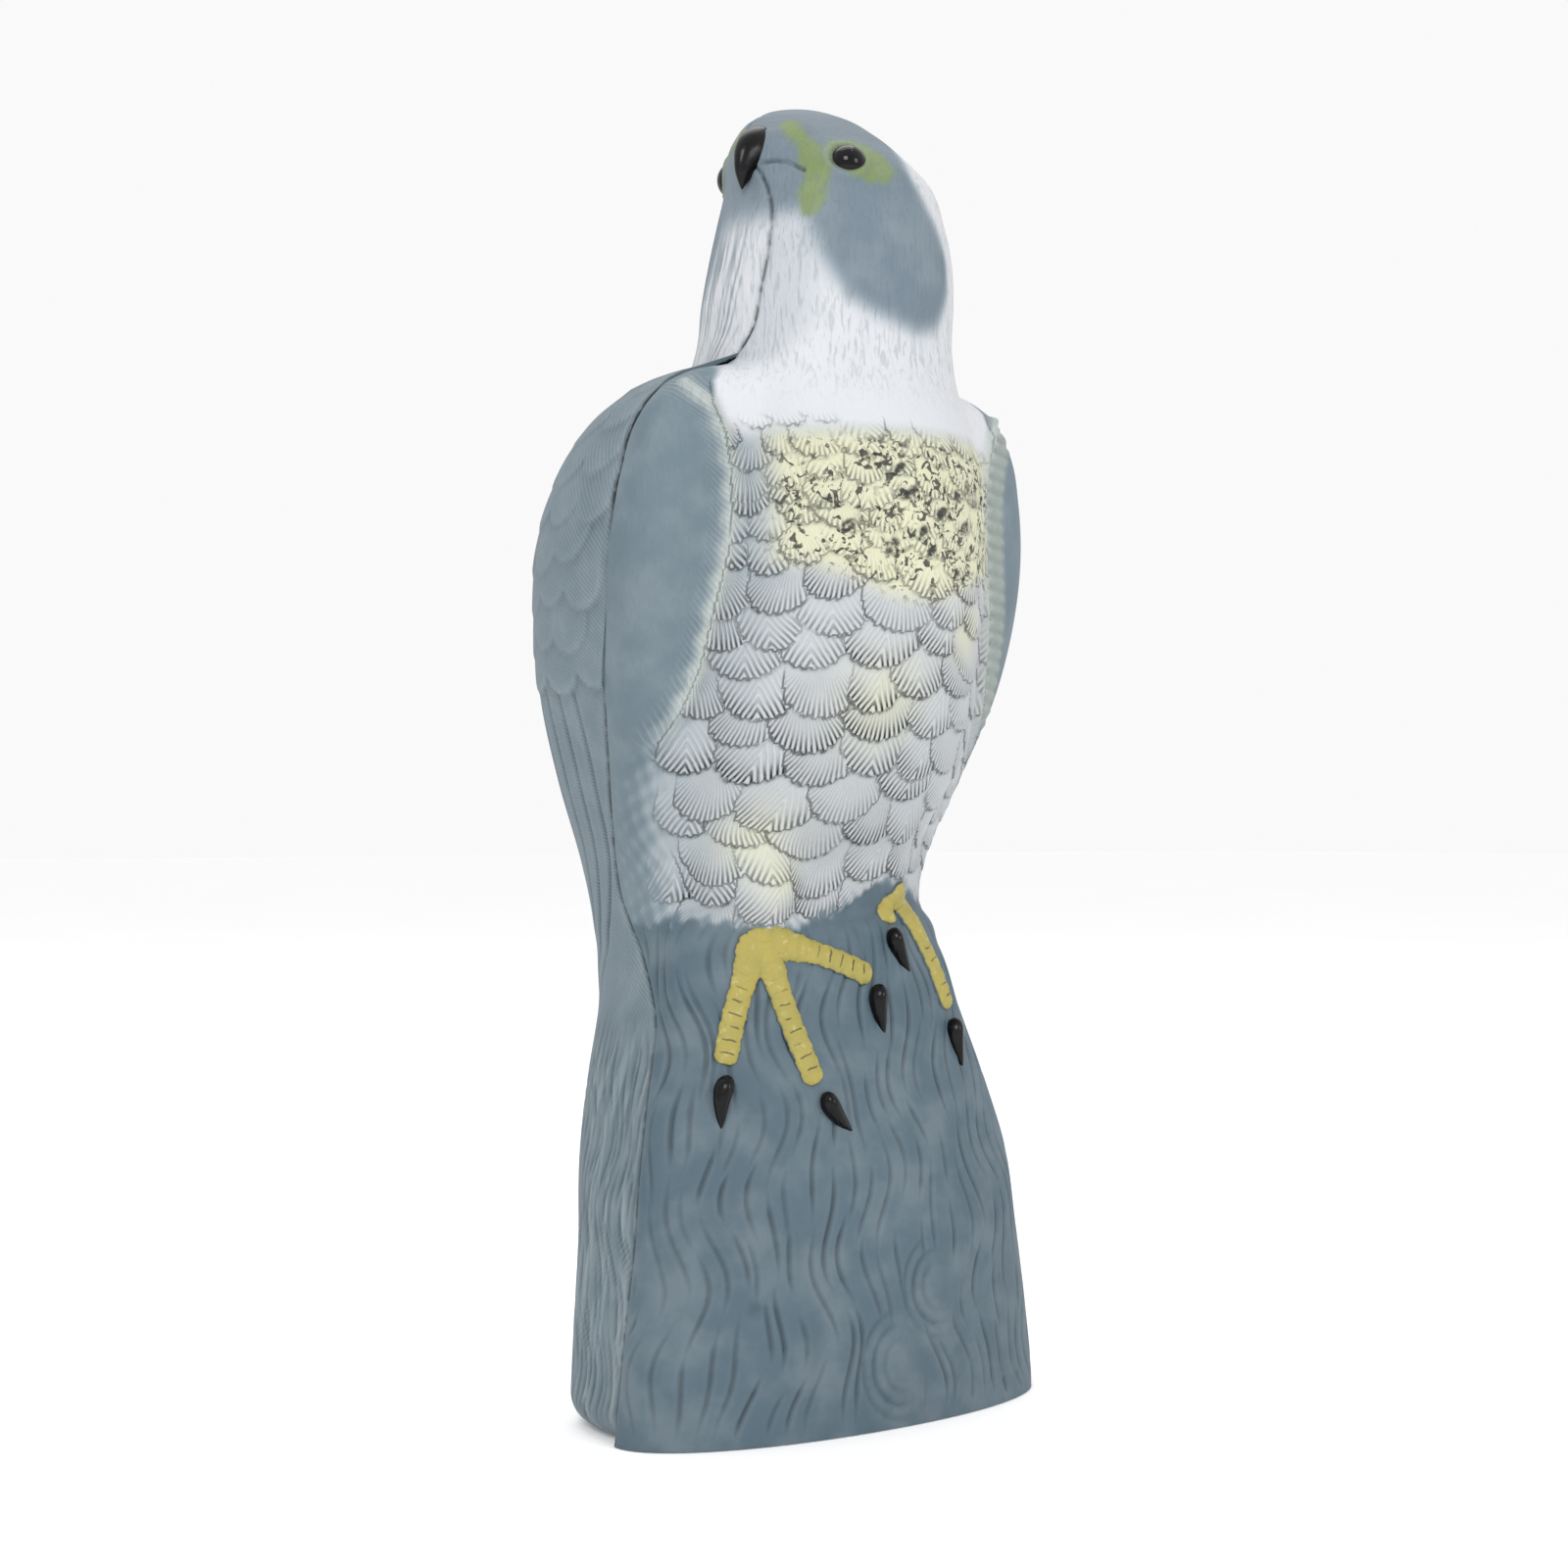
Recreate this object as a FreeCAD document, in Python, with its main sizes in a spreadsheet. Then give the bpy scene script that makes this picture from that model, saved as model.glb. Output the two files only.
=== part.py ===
import FreeCAD, Part
import math
import os
import Sketcher

# Hollow moulded falcon decoy, perched on a stump.
# Frame: +Z up, the bird faces -Y, its own right side is -X, origin at the middle of the base.
# Lengths are millimetres and angles are degrees.

DOC = FreeCAD.newDocument("falcon_decoy")
SHEET = DOC.addObject("Spreadsheet::Sheet", "dimensions")

# Driving dimensions.
DRIVING = {
    "wall": 2.4,
    "floor_thickness": 3.0,
    "rear_edge_round": 10.0,
    "blend_sharpness": 0.5,
    "eye_diameter": 10.4,
    "eye_dome": 3.9,
    "eye_sink": 1.6,
    "eye_stem": 5.0,
    "eye_stem_length": 9.0,
    "eye_boss": 14.0,
    "eye_boss_depth": 5.5,
    "retainer_diameter": 11.0,
    "retainer_thickness": 1.6,
    "beak_width": 12.0,
    "beak_height": 18.5,
    "beak_length": 16.0,
    "beak_spigot": 5.0,
    "beak_reach": 20.0,
    "claw_root": 5.6,
    "claw_length": 14.0,
    "claw_hook": 3.0,
    "claw_spigot": 4.0,
    "toe_thickness": 9.0,
    "toe_lift": 2.5,
    "ankle_thickness": 12.0,
    "hole_diameter": 24.0,
    "hole_middle": 20.0,
    "boss_diameter": 38.0,
    "boss_height": 8.0,
    "flange_diameter": 30.0,
    "flange_thickness": 1.6,
    "flange_recess": 1.6,
    "plug_depth": 9.0,
    "plug_wall": 2.0,
    "plug_gap": 0.05,
    "tab_width": 8.0,
    "tab_thickness": 2.0,
}

# Each form is a stack of rounded outlines:
# level, half width, middle in X, then the Y of its widest place, of its front and of its back.
FORMS = {
    "stump": {
        "front_power": 2.1,
        "back_power": 4.0,
        "rows": [
            (0, 79, 0, 0, -31, 50),
            (28, 76.5, 0, 0, -29.5, 53),
            (54, 73, 0, 0, -27, 57),
            (80, 70, 0, 1, -22, 62),
            (100, 65, 0, 5, -19, 66),
            (125, 57, 0, 9, -13, 70),
            (145, 51, 0, 12, -8, 72),
            (157, 45, 0, 16, -2, 70),
            (165, 25, 0, 20, 10, 50),
        ],
    },
    "mantle": {
        "front_power": 2.7,
        "back_power": 3.0,
        "rows": [
            (110, 30, 0, 45, 33, 66),
            (118, 42, 0, 36, 14, 73),
            (130, 49, 0, 32, 6, 78),
            (149, 52, 0, 34, 4, 81),
            (173, 56.5, 0, 36, 4, 84.5),
            (199, 65.5, 0, 28, -4, 90),
            (225, 73, 0, 17, -13, 95),
            (250, 76.5, 0, 9, -18, 96.5),
            (275, 77.5, 0, 5, -20, 93),
            (291, 75.5, 0, 3, -20, 85),
            (306, 71, 0, 1, -20, 71.5),
            (315, 65, 0, 0, -19.5, 59),
            (320, 59, 0, 0, -18, 49),
            (324, 49, 0, 0, -14, 40),
            (327, 32, 0, 0, -8, 28),
        ],
    },
    "torso": {
        "front_power": 2.0,
        "back_power": 2.0,
        "rows": [
            (150, 20, 0, 24, 10, 38),
            (157, 32, 0, 24, -2, 50),
            (165, 36, 0, 23, -5, 53),
            (173, 40, 0, 22, -8, 56),
            (186, 45, 0, 19, -19, 59),
            (199, 49, 0, 14, -28, 60),
            (212, 51, 0, 8, -35, 61),
            (225, 50, 0, 4, -40, 64),
            (250, 49, 0, 2, -46.5, 67),
            (275, 48, 0, 0, -50, 74),
            (295, 46.5, 0, 0, -49, 71),
            (310, 44, 0, 0, -44.5, 65),
            (323, 40.5, 0, 0, -40, 56),
            (335, 39, 0, 0, -38.5, 48),
            (348, 39.5, 0, 0, -39, 42.5),
            (360, 38.5, 0, -1, -39, 38.5),
            (373, 36, 0, -1, -36.5, 35),
            (385, 32.5, -0.5, 0, -32.5, 32),
            (394, 28, -3, 3, -25, 31),
            (401, 22.5, -5, 5, -17.5, 27.5),
            (406, 16, -7, 6, -10, 22),
            (409, 8, -8, 7, -1, 15),
            (410, 2, -8, 7, 5, 9),
        ],
    },
}

# Rounded lumps added to the stack: middle, radii, and the turn of the long axis about Z.
LUMPS = {
    "right_thigh": ((-27, 10, 174), (17, 20, 27), 0),
    "left_thigh": ((20, 14, 178), (15, 20, 24), 0),
    "brow": ((-14, 2, 391), (16, 15.5, 12), 17),
    "beak_root": ((-20, 0.5, 390), (12, 7.5, 9), 17),
}

# Height and depth of the joint between the two half shells.
SEAM = [
    (-10, 0), (40, 0), (80, 1), (100, 5), (112, 8), (124, 12), (136, 20), (149, 30), (161, 37),
    (173, 37), (186, 32), (199, 26), (225, 16), (250, 9), (275, 5), (291, 3), (315, 0),
    (325, -4), (335, -11), (348, -15), (362, -17), (374, -15), (384, -9), (392, -1), (400, 5), (420, 8),
]

# Toes lie on the skin: each has the name of its claw, and the X and Z of its root, knuckle and tip.
TOES = {
    "right_outer_claw": [(-29, 151), (-38, 133), (-46, 111)],
    "right_middle_claw": [(-29, 151), (-24, 128), (-17, 104)],
    "right_inner_claw": [(-29, 151), (-10, 147), (8, 137)],
    "left_inner_claw": [(27, 164), (21, 160), (20, 154)],
    "left_middle_claw": [(27, 164), (36, 146), (44, 124)],
}

# The way each claw points from the tip of its toe, as a run in X and Z.
CLAW_AIMS = {
    "right_outer_claw": (-3, -17),
    "right_middle_claw": (11.5, -13.5),
    "right_inner_claw": (1.5, -15),
    "left_inner_claw": (6.5, -15.5),
    "left_middle_claw": (2, -16),
}

# The head turns to the bird's right; the beak and the eyes sit around its middle.
HEAD_MIDDLE = FreeCAD.Vector(-4, 5, 390)
FACE_TURN = 73.0
EYES = {"left": (FACE_TURN - 58.0, 387.5), "right": (FACE_TURN + 58.0, 389.5)}
SEAM_REACH = 150.0


def write_sheet():
    """Every driving size goes into the sheet as a plain number under a word."""
    for row, (name, value) in enumerate(DRIVING.items(), start=1):
        SHEET.set(f"A{row}", name)
        SHEET.set(f"B{row}", str(value))
        SHEET.setAlias(f"B{row}", name)
    DOC.recompute()


def size(name):
    return float(getattr(SHEET, name))


def eased(rows, level):
    """One outline between the given ones, on a smooth curve through them."""
    if level <= rows[0][0]:
        return rows[0][1:]
    if level >= rows[-1][0]:
        return rows[-1][1:]
    upper = next(i for i, row in enumerate(rows) if row[0] > level)
    lower = upper - 1
    span = rows[upper][0] - rows[lower][0]
    step = (level - rows[lower][0]) / span
    values = []
    for column in range(1, len(rows[0])):
        start, end = rows[lower][column], rows[upper][column]
        slopes = [slope_at(rows, index, column) for index in (lower, upper)]
        values.append(
            start * (2 * step**3 - 3 * step**2 + 1)
            + end * (3 * step**2 - 2 * step**3)
            + slopes[0] * span * (step**3 - 2 * step**2 + step)
            + slopes[1] * span * (step**3 - step**2)
        )
    return values


def slope_at(rows, index, column):
    if index == 0 or index == len(rows) - 1:
        return 0.0
    before = (rows[index][column] - rows[index - 1][column]) / (rows[index][0] - rows[index - 1][0])
    after = (rows[index + 1][column] - rows[index][column]) / (rows[index + 1][0] - rows[index][0])
    span_before = rows[index][0] - rows[index - 1][0]
    span_after = rows[index + 1][0] - rows[index][0]
    return (before * span_after + after * span_before) / (span_before + span_after)


def form_gap(form, outline, x, y):
    """Rough distance from a point to one outline, negative inside."""
    half_width, middle_x, widest_y, front_y, back_y = outline
    edge_y, power = (front_y, form["front_power"]) if y < widest_y else (back_y, form["back_power"])
    depth = abs(edge_y - widest_y)
    reach = (abs(x - middle_x) / half_width) ** power + (abs(y - widest_y) / depth) ** power
    return (reach ** (1 / power) - 1) * min(half_width, depth)


def lump_gap(lump, x, y, z):
    middle, radii, turn = lump
    angle = math.radians(turn)
    along = (x - middle[0]) * math.cos(angle) + (y - middle[1]) * math.sin(angle)
    across = (y - middle[1]) * math.cos(angle) - (x - middle[0]) * math.sin(angle)
    reach = math.sqrt((along / radii[0]) ** 2 + (across / radii[1]) ** 2 + ((z - middle[2]) / radii[2]) ** 2)
    return (reach - 1) * min(radii)


class Level:
    """The body cut at one height: all its outlines joined with soft fillets."""

    def __init__(self, z):
        self.z = z
        self.sharpness = size("blend_sharpness")
        self.forms = [
            (form, eased(form["rows"], z))
            for form in FORMS.values()
            if form["rows"][0][0] <= z <= form["rows"][-1][0]
        ]
        self.lumps = [lump for lump in LUMPS.values() if abs(z - lump[0][2]) < lump[1][2]]
        torso_middle = eased(FORMS["torso"]["rows"], z)
        stump_share = min(1.0, max(0.0, (200 - z) / 50))
        self.axis = (torso_middle[1], torso_middle[2] * (1 - stump_share) + 12 * stump_share)

    def gap(self, x, y):
        gaps = [form_gap(form, outline, x, y) for form, outline in self.forms]
        gaps += [lump_gap(lump, x, y, self.z) for lump in self.lumps]
        nearest = min(gaps)
        total = sum(math.exp(-self.sharpness * (gap - nearest)) for gap in gaps)
        return nearest - math.log(total) / self.sharpness

    def radius(self, angle):
        """Distance from the axis to the skin in one direction."""
        low, high = 0.0, 120.0
        for _ in range(26):
            middle = (low + high) / 2
            x = self.axis[0] + middle * math.cos(angle)
            y = self.axis[1] + middle * math.sin(angle)
            low, high = (middle, high) if self.gap(x, y) < 0 else (low, middle)
        return low


def skin_along(start, direction, reach=120.0):
    """Where a level line from inside the body leaves it."""
    level = Level(start.z)
    low, high = 0.0, reach
    for _ in range(26):
        middle = (low + high) / 2
        place = start + direction * middle
        low, high = (middle, high) if level.gap(place.x, place.y) < 0 else (low, middle)
    return start + direction * low


def skin_point(x, z):
    """The front skin at one place."""
    return skin_along(FreeCAD.Vector(x, Level(z).axis[1], z), FreeCAD.Vector(0, -1, 0))


def skin_normal(x, z, step=2.0):
    across = skin_point(x + step, z) - skin_point(x - step, z)
    up = skin_point(x, z + step) - skin_point(x, z - step)
    return across.cross(up).normalize()


LEVELS = (
    [0, 2, 4, 8] + list(range(16, 120, 8)) + list(range(120, 170, 5)) + list(range(172, 300, 8))
    + list(range(300, 330, 3)) + list(range(331, 380, 6)) + list(range(382, 406, 3)) + [406, 408, 409.4, 410]
)
CAVITY_LEVELS = [5, 7, 10] + list(range(16, 300, 10)) + list(range(302, 322, 4)) + list(range(328, 404, 8))
POINTS_ROUND = 64


def radii_at(level):
    return [level.radius(2 * math.pi * index / POINTS_ROUND) for index in range(POINTS_ROUND)]


def ring(level, radii):
    """The points of a closed outline at one height."""
    points = []
    for index, radius in enumerate(radii):
        angle = 2 * math.pi * index / len(radii)
        x = level.axis[0] + radius * math.cos(angle)
        y = level.axis[1] + radius * math.sin(angle)
        points.append(FreeCAD.Vector(x, y, level.z))
    return points


def skinned(rings):
    """A closed solid over a stack of outlines: a smooth cubic skin with a flat lid at each end."""
    degree = 3
    poles = [[stacked[index] for stacked in rings] for index in range(POINTS_ROUND)]
    spans = len(rings) - degree
    surface = Part.BSplineSurface()
    surface.buildFromPolesMultsKnots(
        poles,
        [1] * (POINTS_ROUND + 1),
        [degree + 1] + [1] * (spans - 1) + [degree + 1],
        [float(index) for index in range(POINTS_ROUND + 1)],
        [float(index) for index in range(spans + 1)],
        True,
        False,
        degree,
        degree,
    )
    side = surface.toShape()
    rims = [edge for edge in side.Edges if edge.BoundBox.ZLength < 1e-6]
    faces = [side]
    for rim in rims:
        lid = Part.Face(Part.Wire([rim]))
        outward = 1 if rim.BoundBox.ZMin > rings[0][0].z else -1
        if lid.normalAt(0, 0).z * outward < 0:
            lid.reverse()
        faces.append(lid)
    shell = Part.Shell(faces)
    shell.sewShape()
    return Part.Solid(shell)


def foot_inset(z, edge_round):
    """How far the rounded foot of the stump draws in at one height."""
    if z >= edge_round:
        return 0.0
    return edge_round - math.sqrt(edge_round**2 - (edge_round - z) ** 2)


def outer_solid(edge_round):
    """The closed outside of the decoy; edge_round softens the foot of the stump."""
    rings = []
    for z in LEVELS:
        level = Level(z)
        inset = foot_inset(z, edge_round)
        rings.append(ring(level, [radius - inset for radius in radii_at(level)]))
    return skinned(rings)


def cavity_solid():
    """The hollow inside: the skin pulled in by one wall, sideways and in height."""
    wall = size("wall")
    rings = []
    for z in [size("floor_thickness")] + CAVITY_LEVELS:
        level = Level(z)
        inset = wall + foot_inset(z, size("rear_edge_round"))
        inner = [radius - inset for radius in radii_at(level)]
        for shift, pulled in ((wall, 0.0), (0.7 * wall, 0.7 * wall)):
            for near in (Level(max(z - shift, 0)), Level(z + shift)):
                moved_x = near.axis[0] - level.axis[0]
                moved_y = near.axis[1] - level.axis[1]
                for index, radius in enumerate(radii_at(near)):
                    angle = 2 * math.pi * index / POINTS_ROUND
                    drift = moved_x * math.cos(angle) + moved_y * math.sin(angle)
                    inner[index] = min(inner[index], radius + drift - pulled)
        rings.append(ring(level, inner))
    return skinned(rings)


def parting_tool():
    """Everything in front of the joint between the two half shells."""
    joint = [FreeCAD.Vector(-SEAM_REACH, depth, height) for height, depth in SEAM]
    curve = Part.BSplineCurve()
    curve.interpolate(joint)
    top = FreeCAD.Vector(-SEAM_REACH, -SEAM_REACH, joint[-1].z)
    bottom = FreeCAD.Vector(-SEAM_REACH, -SEAM_REACH, joint[0].z)
    outline = Part.Wire([
        curve.toShape(),
        Part.makeLine(joint[-1], top),
        Part.makeLine(top, bottom),
        Part.makeLine(bottom, joint[0]),
    ])
    return Part.Face(outline).extrude(FreeCAD.Vector(2 * SEAM_REACH, 0, 0))


def bead(start, end, radius):
    """A round bar with a ball on its far end."""
    run = end - start
    return [Part.makeCylinder(radius, run.Length, start, run), Part.makeSphere(radius, end, run)]


def toe_line(path):
    """The middle line of one toe, lifted off the skin."""
    return [skin_point(x, z) + skin_normal(x, z) * size("toe_lift") for x, z in path]


def toe_solids(path):
    root, knuckle, tip = toe_line(path)
    radius = size("toe_thickness") / 2
    return bead(root, knuckle, radius) + bead(knuckle, tip, radius)


def ankle_solids():
    """One round pad where the toes of each foot meet."""
    thickness = size("ankle_thickness")
    pads = []
    for root in {path[0]: None for path in TOES.values()}:
        normal = skin_normal(*root)
        pads.append(Part.makeCylinder(thickness / 2, thickness, skin_point(*root) - normal * thickness / 2, normal))
    return pads


def claw_placement(name, path):
    """The claw grows out of the toe's tip and lies along the skin."""
    tip_x, tip_z = path[-1]
    aim_x, aim_z = CLAW_AIMS[name]
    aim = FreeCAD.Vector(aim_x, 0, aim_z).normalize()
    normal = skin_normal(tip_x, tip_z)
    along = (aim - normal * aim.dot(normal)).normalize()
    along = (along + normal * 0.1).normalize()
    inward = (normal * -1 + along * normal.dot(along)).normalize()
    start = toe_line(path)[-1] + along * (0.35 * size("toe_thickness"))
    turn = FreeCAD.Rotation(inward, inward.cross(along) * -1, along, "ZXY")
    return FreeCAD.Placement(start, turn)


def origin_plane(body, role):
    return next(feature for feature in body.Origin.OriginFeatures if feature.Role == role)


def new_body(name):
    body = DOC.addObject("PartDesign::Body", name)
    body.Label = name
    return body


def new_sketch(body, name, role):
    sketch = body.newObject("Sketcher::SketchObject", name)
    sketch.AttachmentSupport = [(origin_plane(body, role), "")]
    sketch.MapMode = "FlatFace"
    return sketch


def bind(sketch, constraint, expression):
    """Adds a dimension to a sketch and ties it to the sheet."""
    index = sketch.addConstraint(constraint)
    sketch.setExpression(f"Constraints[{index}]", expression)


def value_of(expression):
    return float(SHEET.evalExpression(expression))


def add_circle(sketch, diameter):
    """A circle on the sketch's origin."""
    circle = Part.Circle(FreeCAD.Vector(0, 0, 0), FreeCAD.Vector(0, 0, 1), value_of(diameter) / 2)
    index = sketch.addGeometry(circle, False)
    sketch.addConstraint(Sketcher.Constraint("Coincident", index, 3, -1, 1))
    bind(sketch, Sketcher.Constraint("Diameter", index, value_of(diameter)), diameter)


def add_ellipse(sketch, width, height):
    """An upright ellipse on the sketch's origin."""
    wide, high = value_of(width), value_of(height)
    top, side = FreeCAD.Vector(0, high / 2, 0), FreeCAD.Vector(wide / 2, 0, 0)
    index = sketch.addGeometry(Part.Ellipse(top, side, FreeCAD.Vector(0, 0, 0)), False)
    sketch.exposeInternalGeometry(index)
    sketch.addConstraint(Sketcher.Constraint("Coincident", index, 3, -1, 1))
    sketch.addConstraint(Sketcher.Constraint("Vertical", index + 1))
    bind(sketch, Sketcher.Constraint("Distance", index + 1, 1, index + 1, 2, high), height)
    bind(sketch, Sketcher.Constraint("Distance", index + 2, 1, index + 2, 2, wide), width)


def add_profile(sketch, corners, domed=False):
    """A closed outline through corners given as expressions; domed makes its first side an arc."""
    places = [FreeCAD.Vector(value_of(x), value_of(y), 0) for x, y in corners]
    for index, place in enumerate(places):
        end = places[(index + 1) % len(places)]
        if domed and index == 0:
            radius = (end.x**2 + (place.y - end.y) ** 2) / (2 * (place.y - end.y))
            middle = FreeCAD.Vector(0, place.y - radius, 0)
            circle = Part.Circle(middle, FreeCAD.Vector(0, 0, 1), radius)
            start_angle = math.atan2(end.y - middle.y, end.x)
            sketch.addGeometry(Part.ArcOfCircle(circle, start_angle, math.pi / 2), False)
            sketch.addConstraint(Sketcher.Constraint("PointOnObject", 0, 3, -2))
        else:
            sketch.addGeometry(Part.LineSegment(place, end), False)
    for index, (x, y) in enumerate(corners):
        first = 2 if domed and index == 0 else 1
        before = (index - 1) % len(corners)
        last = 1 if domed and before == 0 else 2
        sketch.addConstraint(Sketcher.Constraint("Coincident", before, last, index, first))
        if x == "0":
            sketch.addConstraint(Sketcher.Constraint("PointOnObject", index, first, -2))
        else:
            bind(sketch, Sketcher.Constraint("DistanceX", -1, 1, index, first, value_of(x)), x)
        if y == "0":
            sketch.addConstraint(Sketcher.Constraint("PointOnObject", index, first, -1))
        else:
            bind(sketch, Sketcher.Constraint("DistanceY", -1, 1, index, first, value_of(y)), y)


def revolve(body, sketch):
    """A full turn about the sketch's upright axis."""
    feature = body.newObject("PartDesign::Revolution", body.Name + "_turned")
    feature.Profile = sketch
    feature.ReferenceAxis = (sketch, ["V_Axis"])
    feature.Angle = 360
    return feature


def horn(body, sections, add_section):
    """A loft through sections: lift along the body's axis, shift across it, and size expressions."""
    sketches = []
    for index, (lift, shift, *sizes) in enumerate(sections):
        sketch = new_sketch(body, f"{body.Name}_section_{index}", "XY_Plane")
        sketch.setExpression("AttachmentOffset.Base.z", lift)
        sketch.setExpression("AttachmentOffset.Base.y", shift)
        add_section(sketch, *sizes)
        sketches.append(sketch)
    DOC.recompute()
    loft = body.newObject("PartDesign::AdditiveLoft", body.Name + "_horn")
    loft.Profile = sketches[0]
    loft.Sections = sketches[1:]


def spigot(body, length, add_section, *sizes):
    """A short peg behind the body's root."""
    sketch = new_sketch(body, body.Name + "_spigot_section", "XY_Plane")
    add_section(sketch, *sizes)
    pad = body.newObject("PartDesign::Pad", body.Name + "_spigot")
    pad.Profile = sketch
    pad.Reversed = True
    pad.setExpression("Length", length)


def head_point(turn, height):
    """A place on the head's skin, by its turn from straight ahead and its height."""
    out = FreeCAD.Vector(-math.sin(math.radians(turn)), -math.cos(math.radians(turn)), 0)
    return skin_along(FreeCAD.Vector(HEAD_MIDDLE.x, HEAD_MIDDLE.y, height), out)


def eye_frame(side):
    """Where an eye sits: on the skin, square to it."""
    turn, height = EYES[side]
    around = head_point(turn - 4, height) - head_point(turn + 4, height)
    up = head_point(turn, height + 2) - head_point(turn, height - 2)
    out = around.cross(up).normalize()
    return FreeCAD.Placement(head_point(turn, height), FreeCAD.Rotation(FreeCAD.Vector(0, 0, 1), out))


def make_eye(side):
    """A glossy dome with a peg that passes through the head's wall."""
    body = new_body(f"{side}_eye")
    sketch = new_sketch(body, f"{side}_eye_profile", "XZ_Plane")
    add_profile(
        sketch,
        [
            ("0", "dimensions.eye_dome - dimensions.eye_sink * 0.5"),
            ("dimensions.eye_diameter / 2", "0"),
            ("dimensions.eye_diameter / 2", "-dimensions.eye_sink"),
            ("dimensions.eye_stem / 2", "-dimensions.eye_sink"),
            ("dimensions.eye_stem / 2", "-dimensions.eye_sink - dimensions.eye_stem_length"),
            ("0", "-dimensions.eye_sink - dimensions.eye_stem_length"),
        ],
        domed=True,
    )
    revolve(body, sketch)
    body.Placement = eye_frame(side)
    return body


def make_eye_retainer(side):
    """The push-on washer that holds the eye's peg from inside the head."""
    body = new_body(f"{side}_eye_retainer")
    sketch = new_sketch(body, f"{side}_eye_retainer_ring", "XY_Plane")
    add_circle(sketch, "dimensions.retainer_diameter")
    add_circle(sketch, "dimensions.eye_stem")
    pad = body.newObject("PartDesign::Pad", f"{side}_eye_retainer_washer")
    pad.Profile = sketch
    pad.Reversed = True
    pad.setExpression("Length", "dimensions.retainer_thickness")
    seat = FreeCAD.Vector(0, 0, -size("eye_boss_depth"))
    body.Placement = eye_frame(side) * FreeCAD.Placement(seat, FreeCAD.Rotation())
    return body


def make_beak():
    """The hooked beak tip, pegged into the root of the bill."""
    body = new_body("beak_tip")
    horn(
        body,
        [
            ("0", "0", "dimensions.beak_width", "dimensions.beak_height"),
            (
                "dimensions.beak_length * 0.45",
                "-dimensions.beak_height * 0.02",
                "dimensions.beak_width * 0.94",
                "dimensions.beak_height * 0.95",
            ),
            (
                "dimensions.beak_length * 0.78",
                "-dimensions.beak_height * 0.14",
                "dimensions.beak_width * 0.68",
                "dimensions.beak_height * 0.78",
            ),
            (
                "dimensions.beak_length",
                "-dimensions.beak_height * 0.36",
                "dimensions.beak_width * 0.26",
                "dimensions.beak_height * 0.4",
            ),
        ],
        add_ellipse,
    )
    spigot(
        body, "dimensions.beak_spigot", add_ellipse, "dimensions.beak_width * 0.6", "dimensions.beak_height * 0.6"
    )
    turn = math.radians(FACE_TURN)
    out = FreeCAD.Vector(-math.sin(turn), -math.cos(turn), 0)
    side = FreeCAD.Vector(out.y, -out.x, 0)
    frame = FreeCAD.Rotation(side, FreeCAD.Vector(0, 0, 1), out, "ZYX")
    body.Placement = FreeCAD.Placement(HEAD_MIDDLE + out * size("beak_reach") + FreeCAD.Vector(0, 0, 1.5), frame)
    return body


def make_claw(name, path):
    """A curved claw that tapers to a point, with a peg in the end of its toe."""
    body = new_body(name)
    horn(
        body,
        [
            ("0", "0", "dimensions.claw_root"),
            ("dimensions.claw_length * 0.4", "-dimensions.claw_hook * 0.05", "dimensions.claw_root * 0.9"),
            ("dimensions.claw_length * 0.75", "-dimensions.claw_hook * 0.45", "dimensions.claw_root * 0.58"),
            ("dimensions.claw_length", "-dimensions.claw_hook", "dimensions.claw_root * 0.15"),
        ],
        add_circle,
    )
    spigot(body, "dimensions.claw_spigot", add_circle, "dimensions.claw_root * 0.6")
    body.Placement = claw_placement(name, path)
    return body


def make_plug():
    """A push-in cup plug for the filling hole, with a finger tab across its hollow."""
    body = new_body("filler_plug")
    sketch = new_sketch(body, "filler_plug_profile", "XZ_Plane")
    skirt = "(dimensions.hole_diameter / 2 - dimensions.plug_gap)"
    rim = "(dimensions.flange_diameter / 2 - dimensions.plug_gap)"
    hollow = f"({skirt} - dimensions.plug_wall)"
    add_profile(
        sketch,
        [
            ("0", "dimensions.plug_depth - dimensions.plug_wall"),
            (hollow, "dimensions.plug_depth - dimensions.plug_wall"),
            (hollow, "0"),
            (rim, "0"),
            (rim, "dimensions.flange_thickness"),
            (skirt, "dimensions.flange_thickness"),
            (skirt, "dimensions.plug_depth"),
            ("0", "dimensions.plug_depth"),
        ],
    )
    revolve(body, sketch)
    tab = new_sketch(body, "filler_plug_tab_section", "XY_Plane")
    tab.setExpression("AttachmentOffset.Base.z", "dimensions.flange_thickness")
    half_width, half_thick = "dimensions.tab_width / 2", "dimensions.tab_thickness / 2"
    add_profile(
        tab,
        [
            (half_width, half_thick),
            (f"-{half_width}", half_thick),
            (f"-{half_width}", f"-{half_thick}"),
            (half_width, f"-{half_thick}"),
        ],
    )
    pad = body.newObject("PartDesign::Pad", "filler_plug_tab")
    pad.Profile = tab
    pad.setExpression("Length", "dimensions.plug_depth - dimensions.flange_thickness - dimensions.plug_wall * 0.5")
    body.Placement = FreeCAD.Placement(
        FreeCAD.Vector(0, size("hole_middle"), size("flange_recess")), FreeCAD.Rotation()
    )
    return body


def eye_boss(side):
    """The round pad inside the head that an eye's peg passes through."""
    frame = eye_frame(side)
    out = frame.Rotation.multVec(FreeCAD.Vector(0, 0, 1))
    start = frame.Base - out * size("eye_boss_depth")
    return Part.makeCylinder(size("eye_boss") / 2, size("eye_boss_depth") - size("eye_sink"), start, out)


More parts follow.
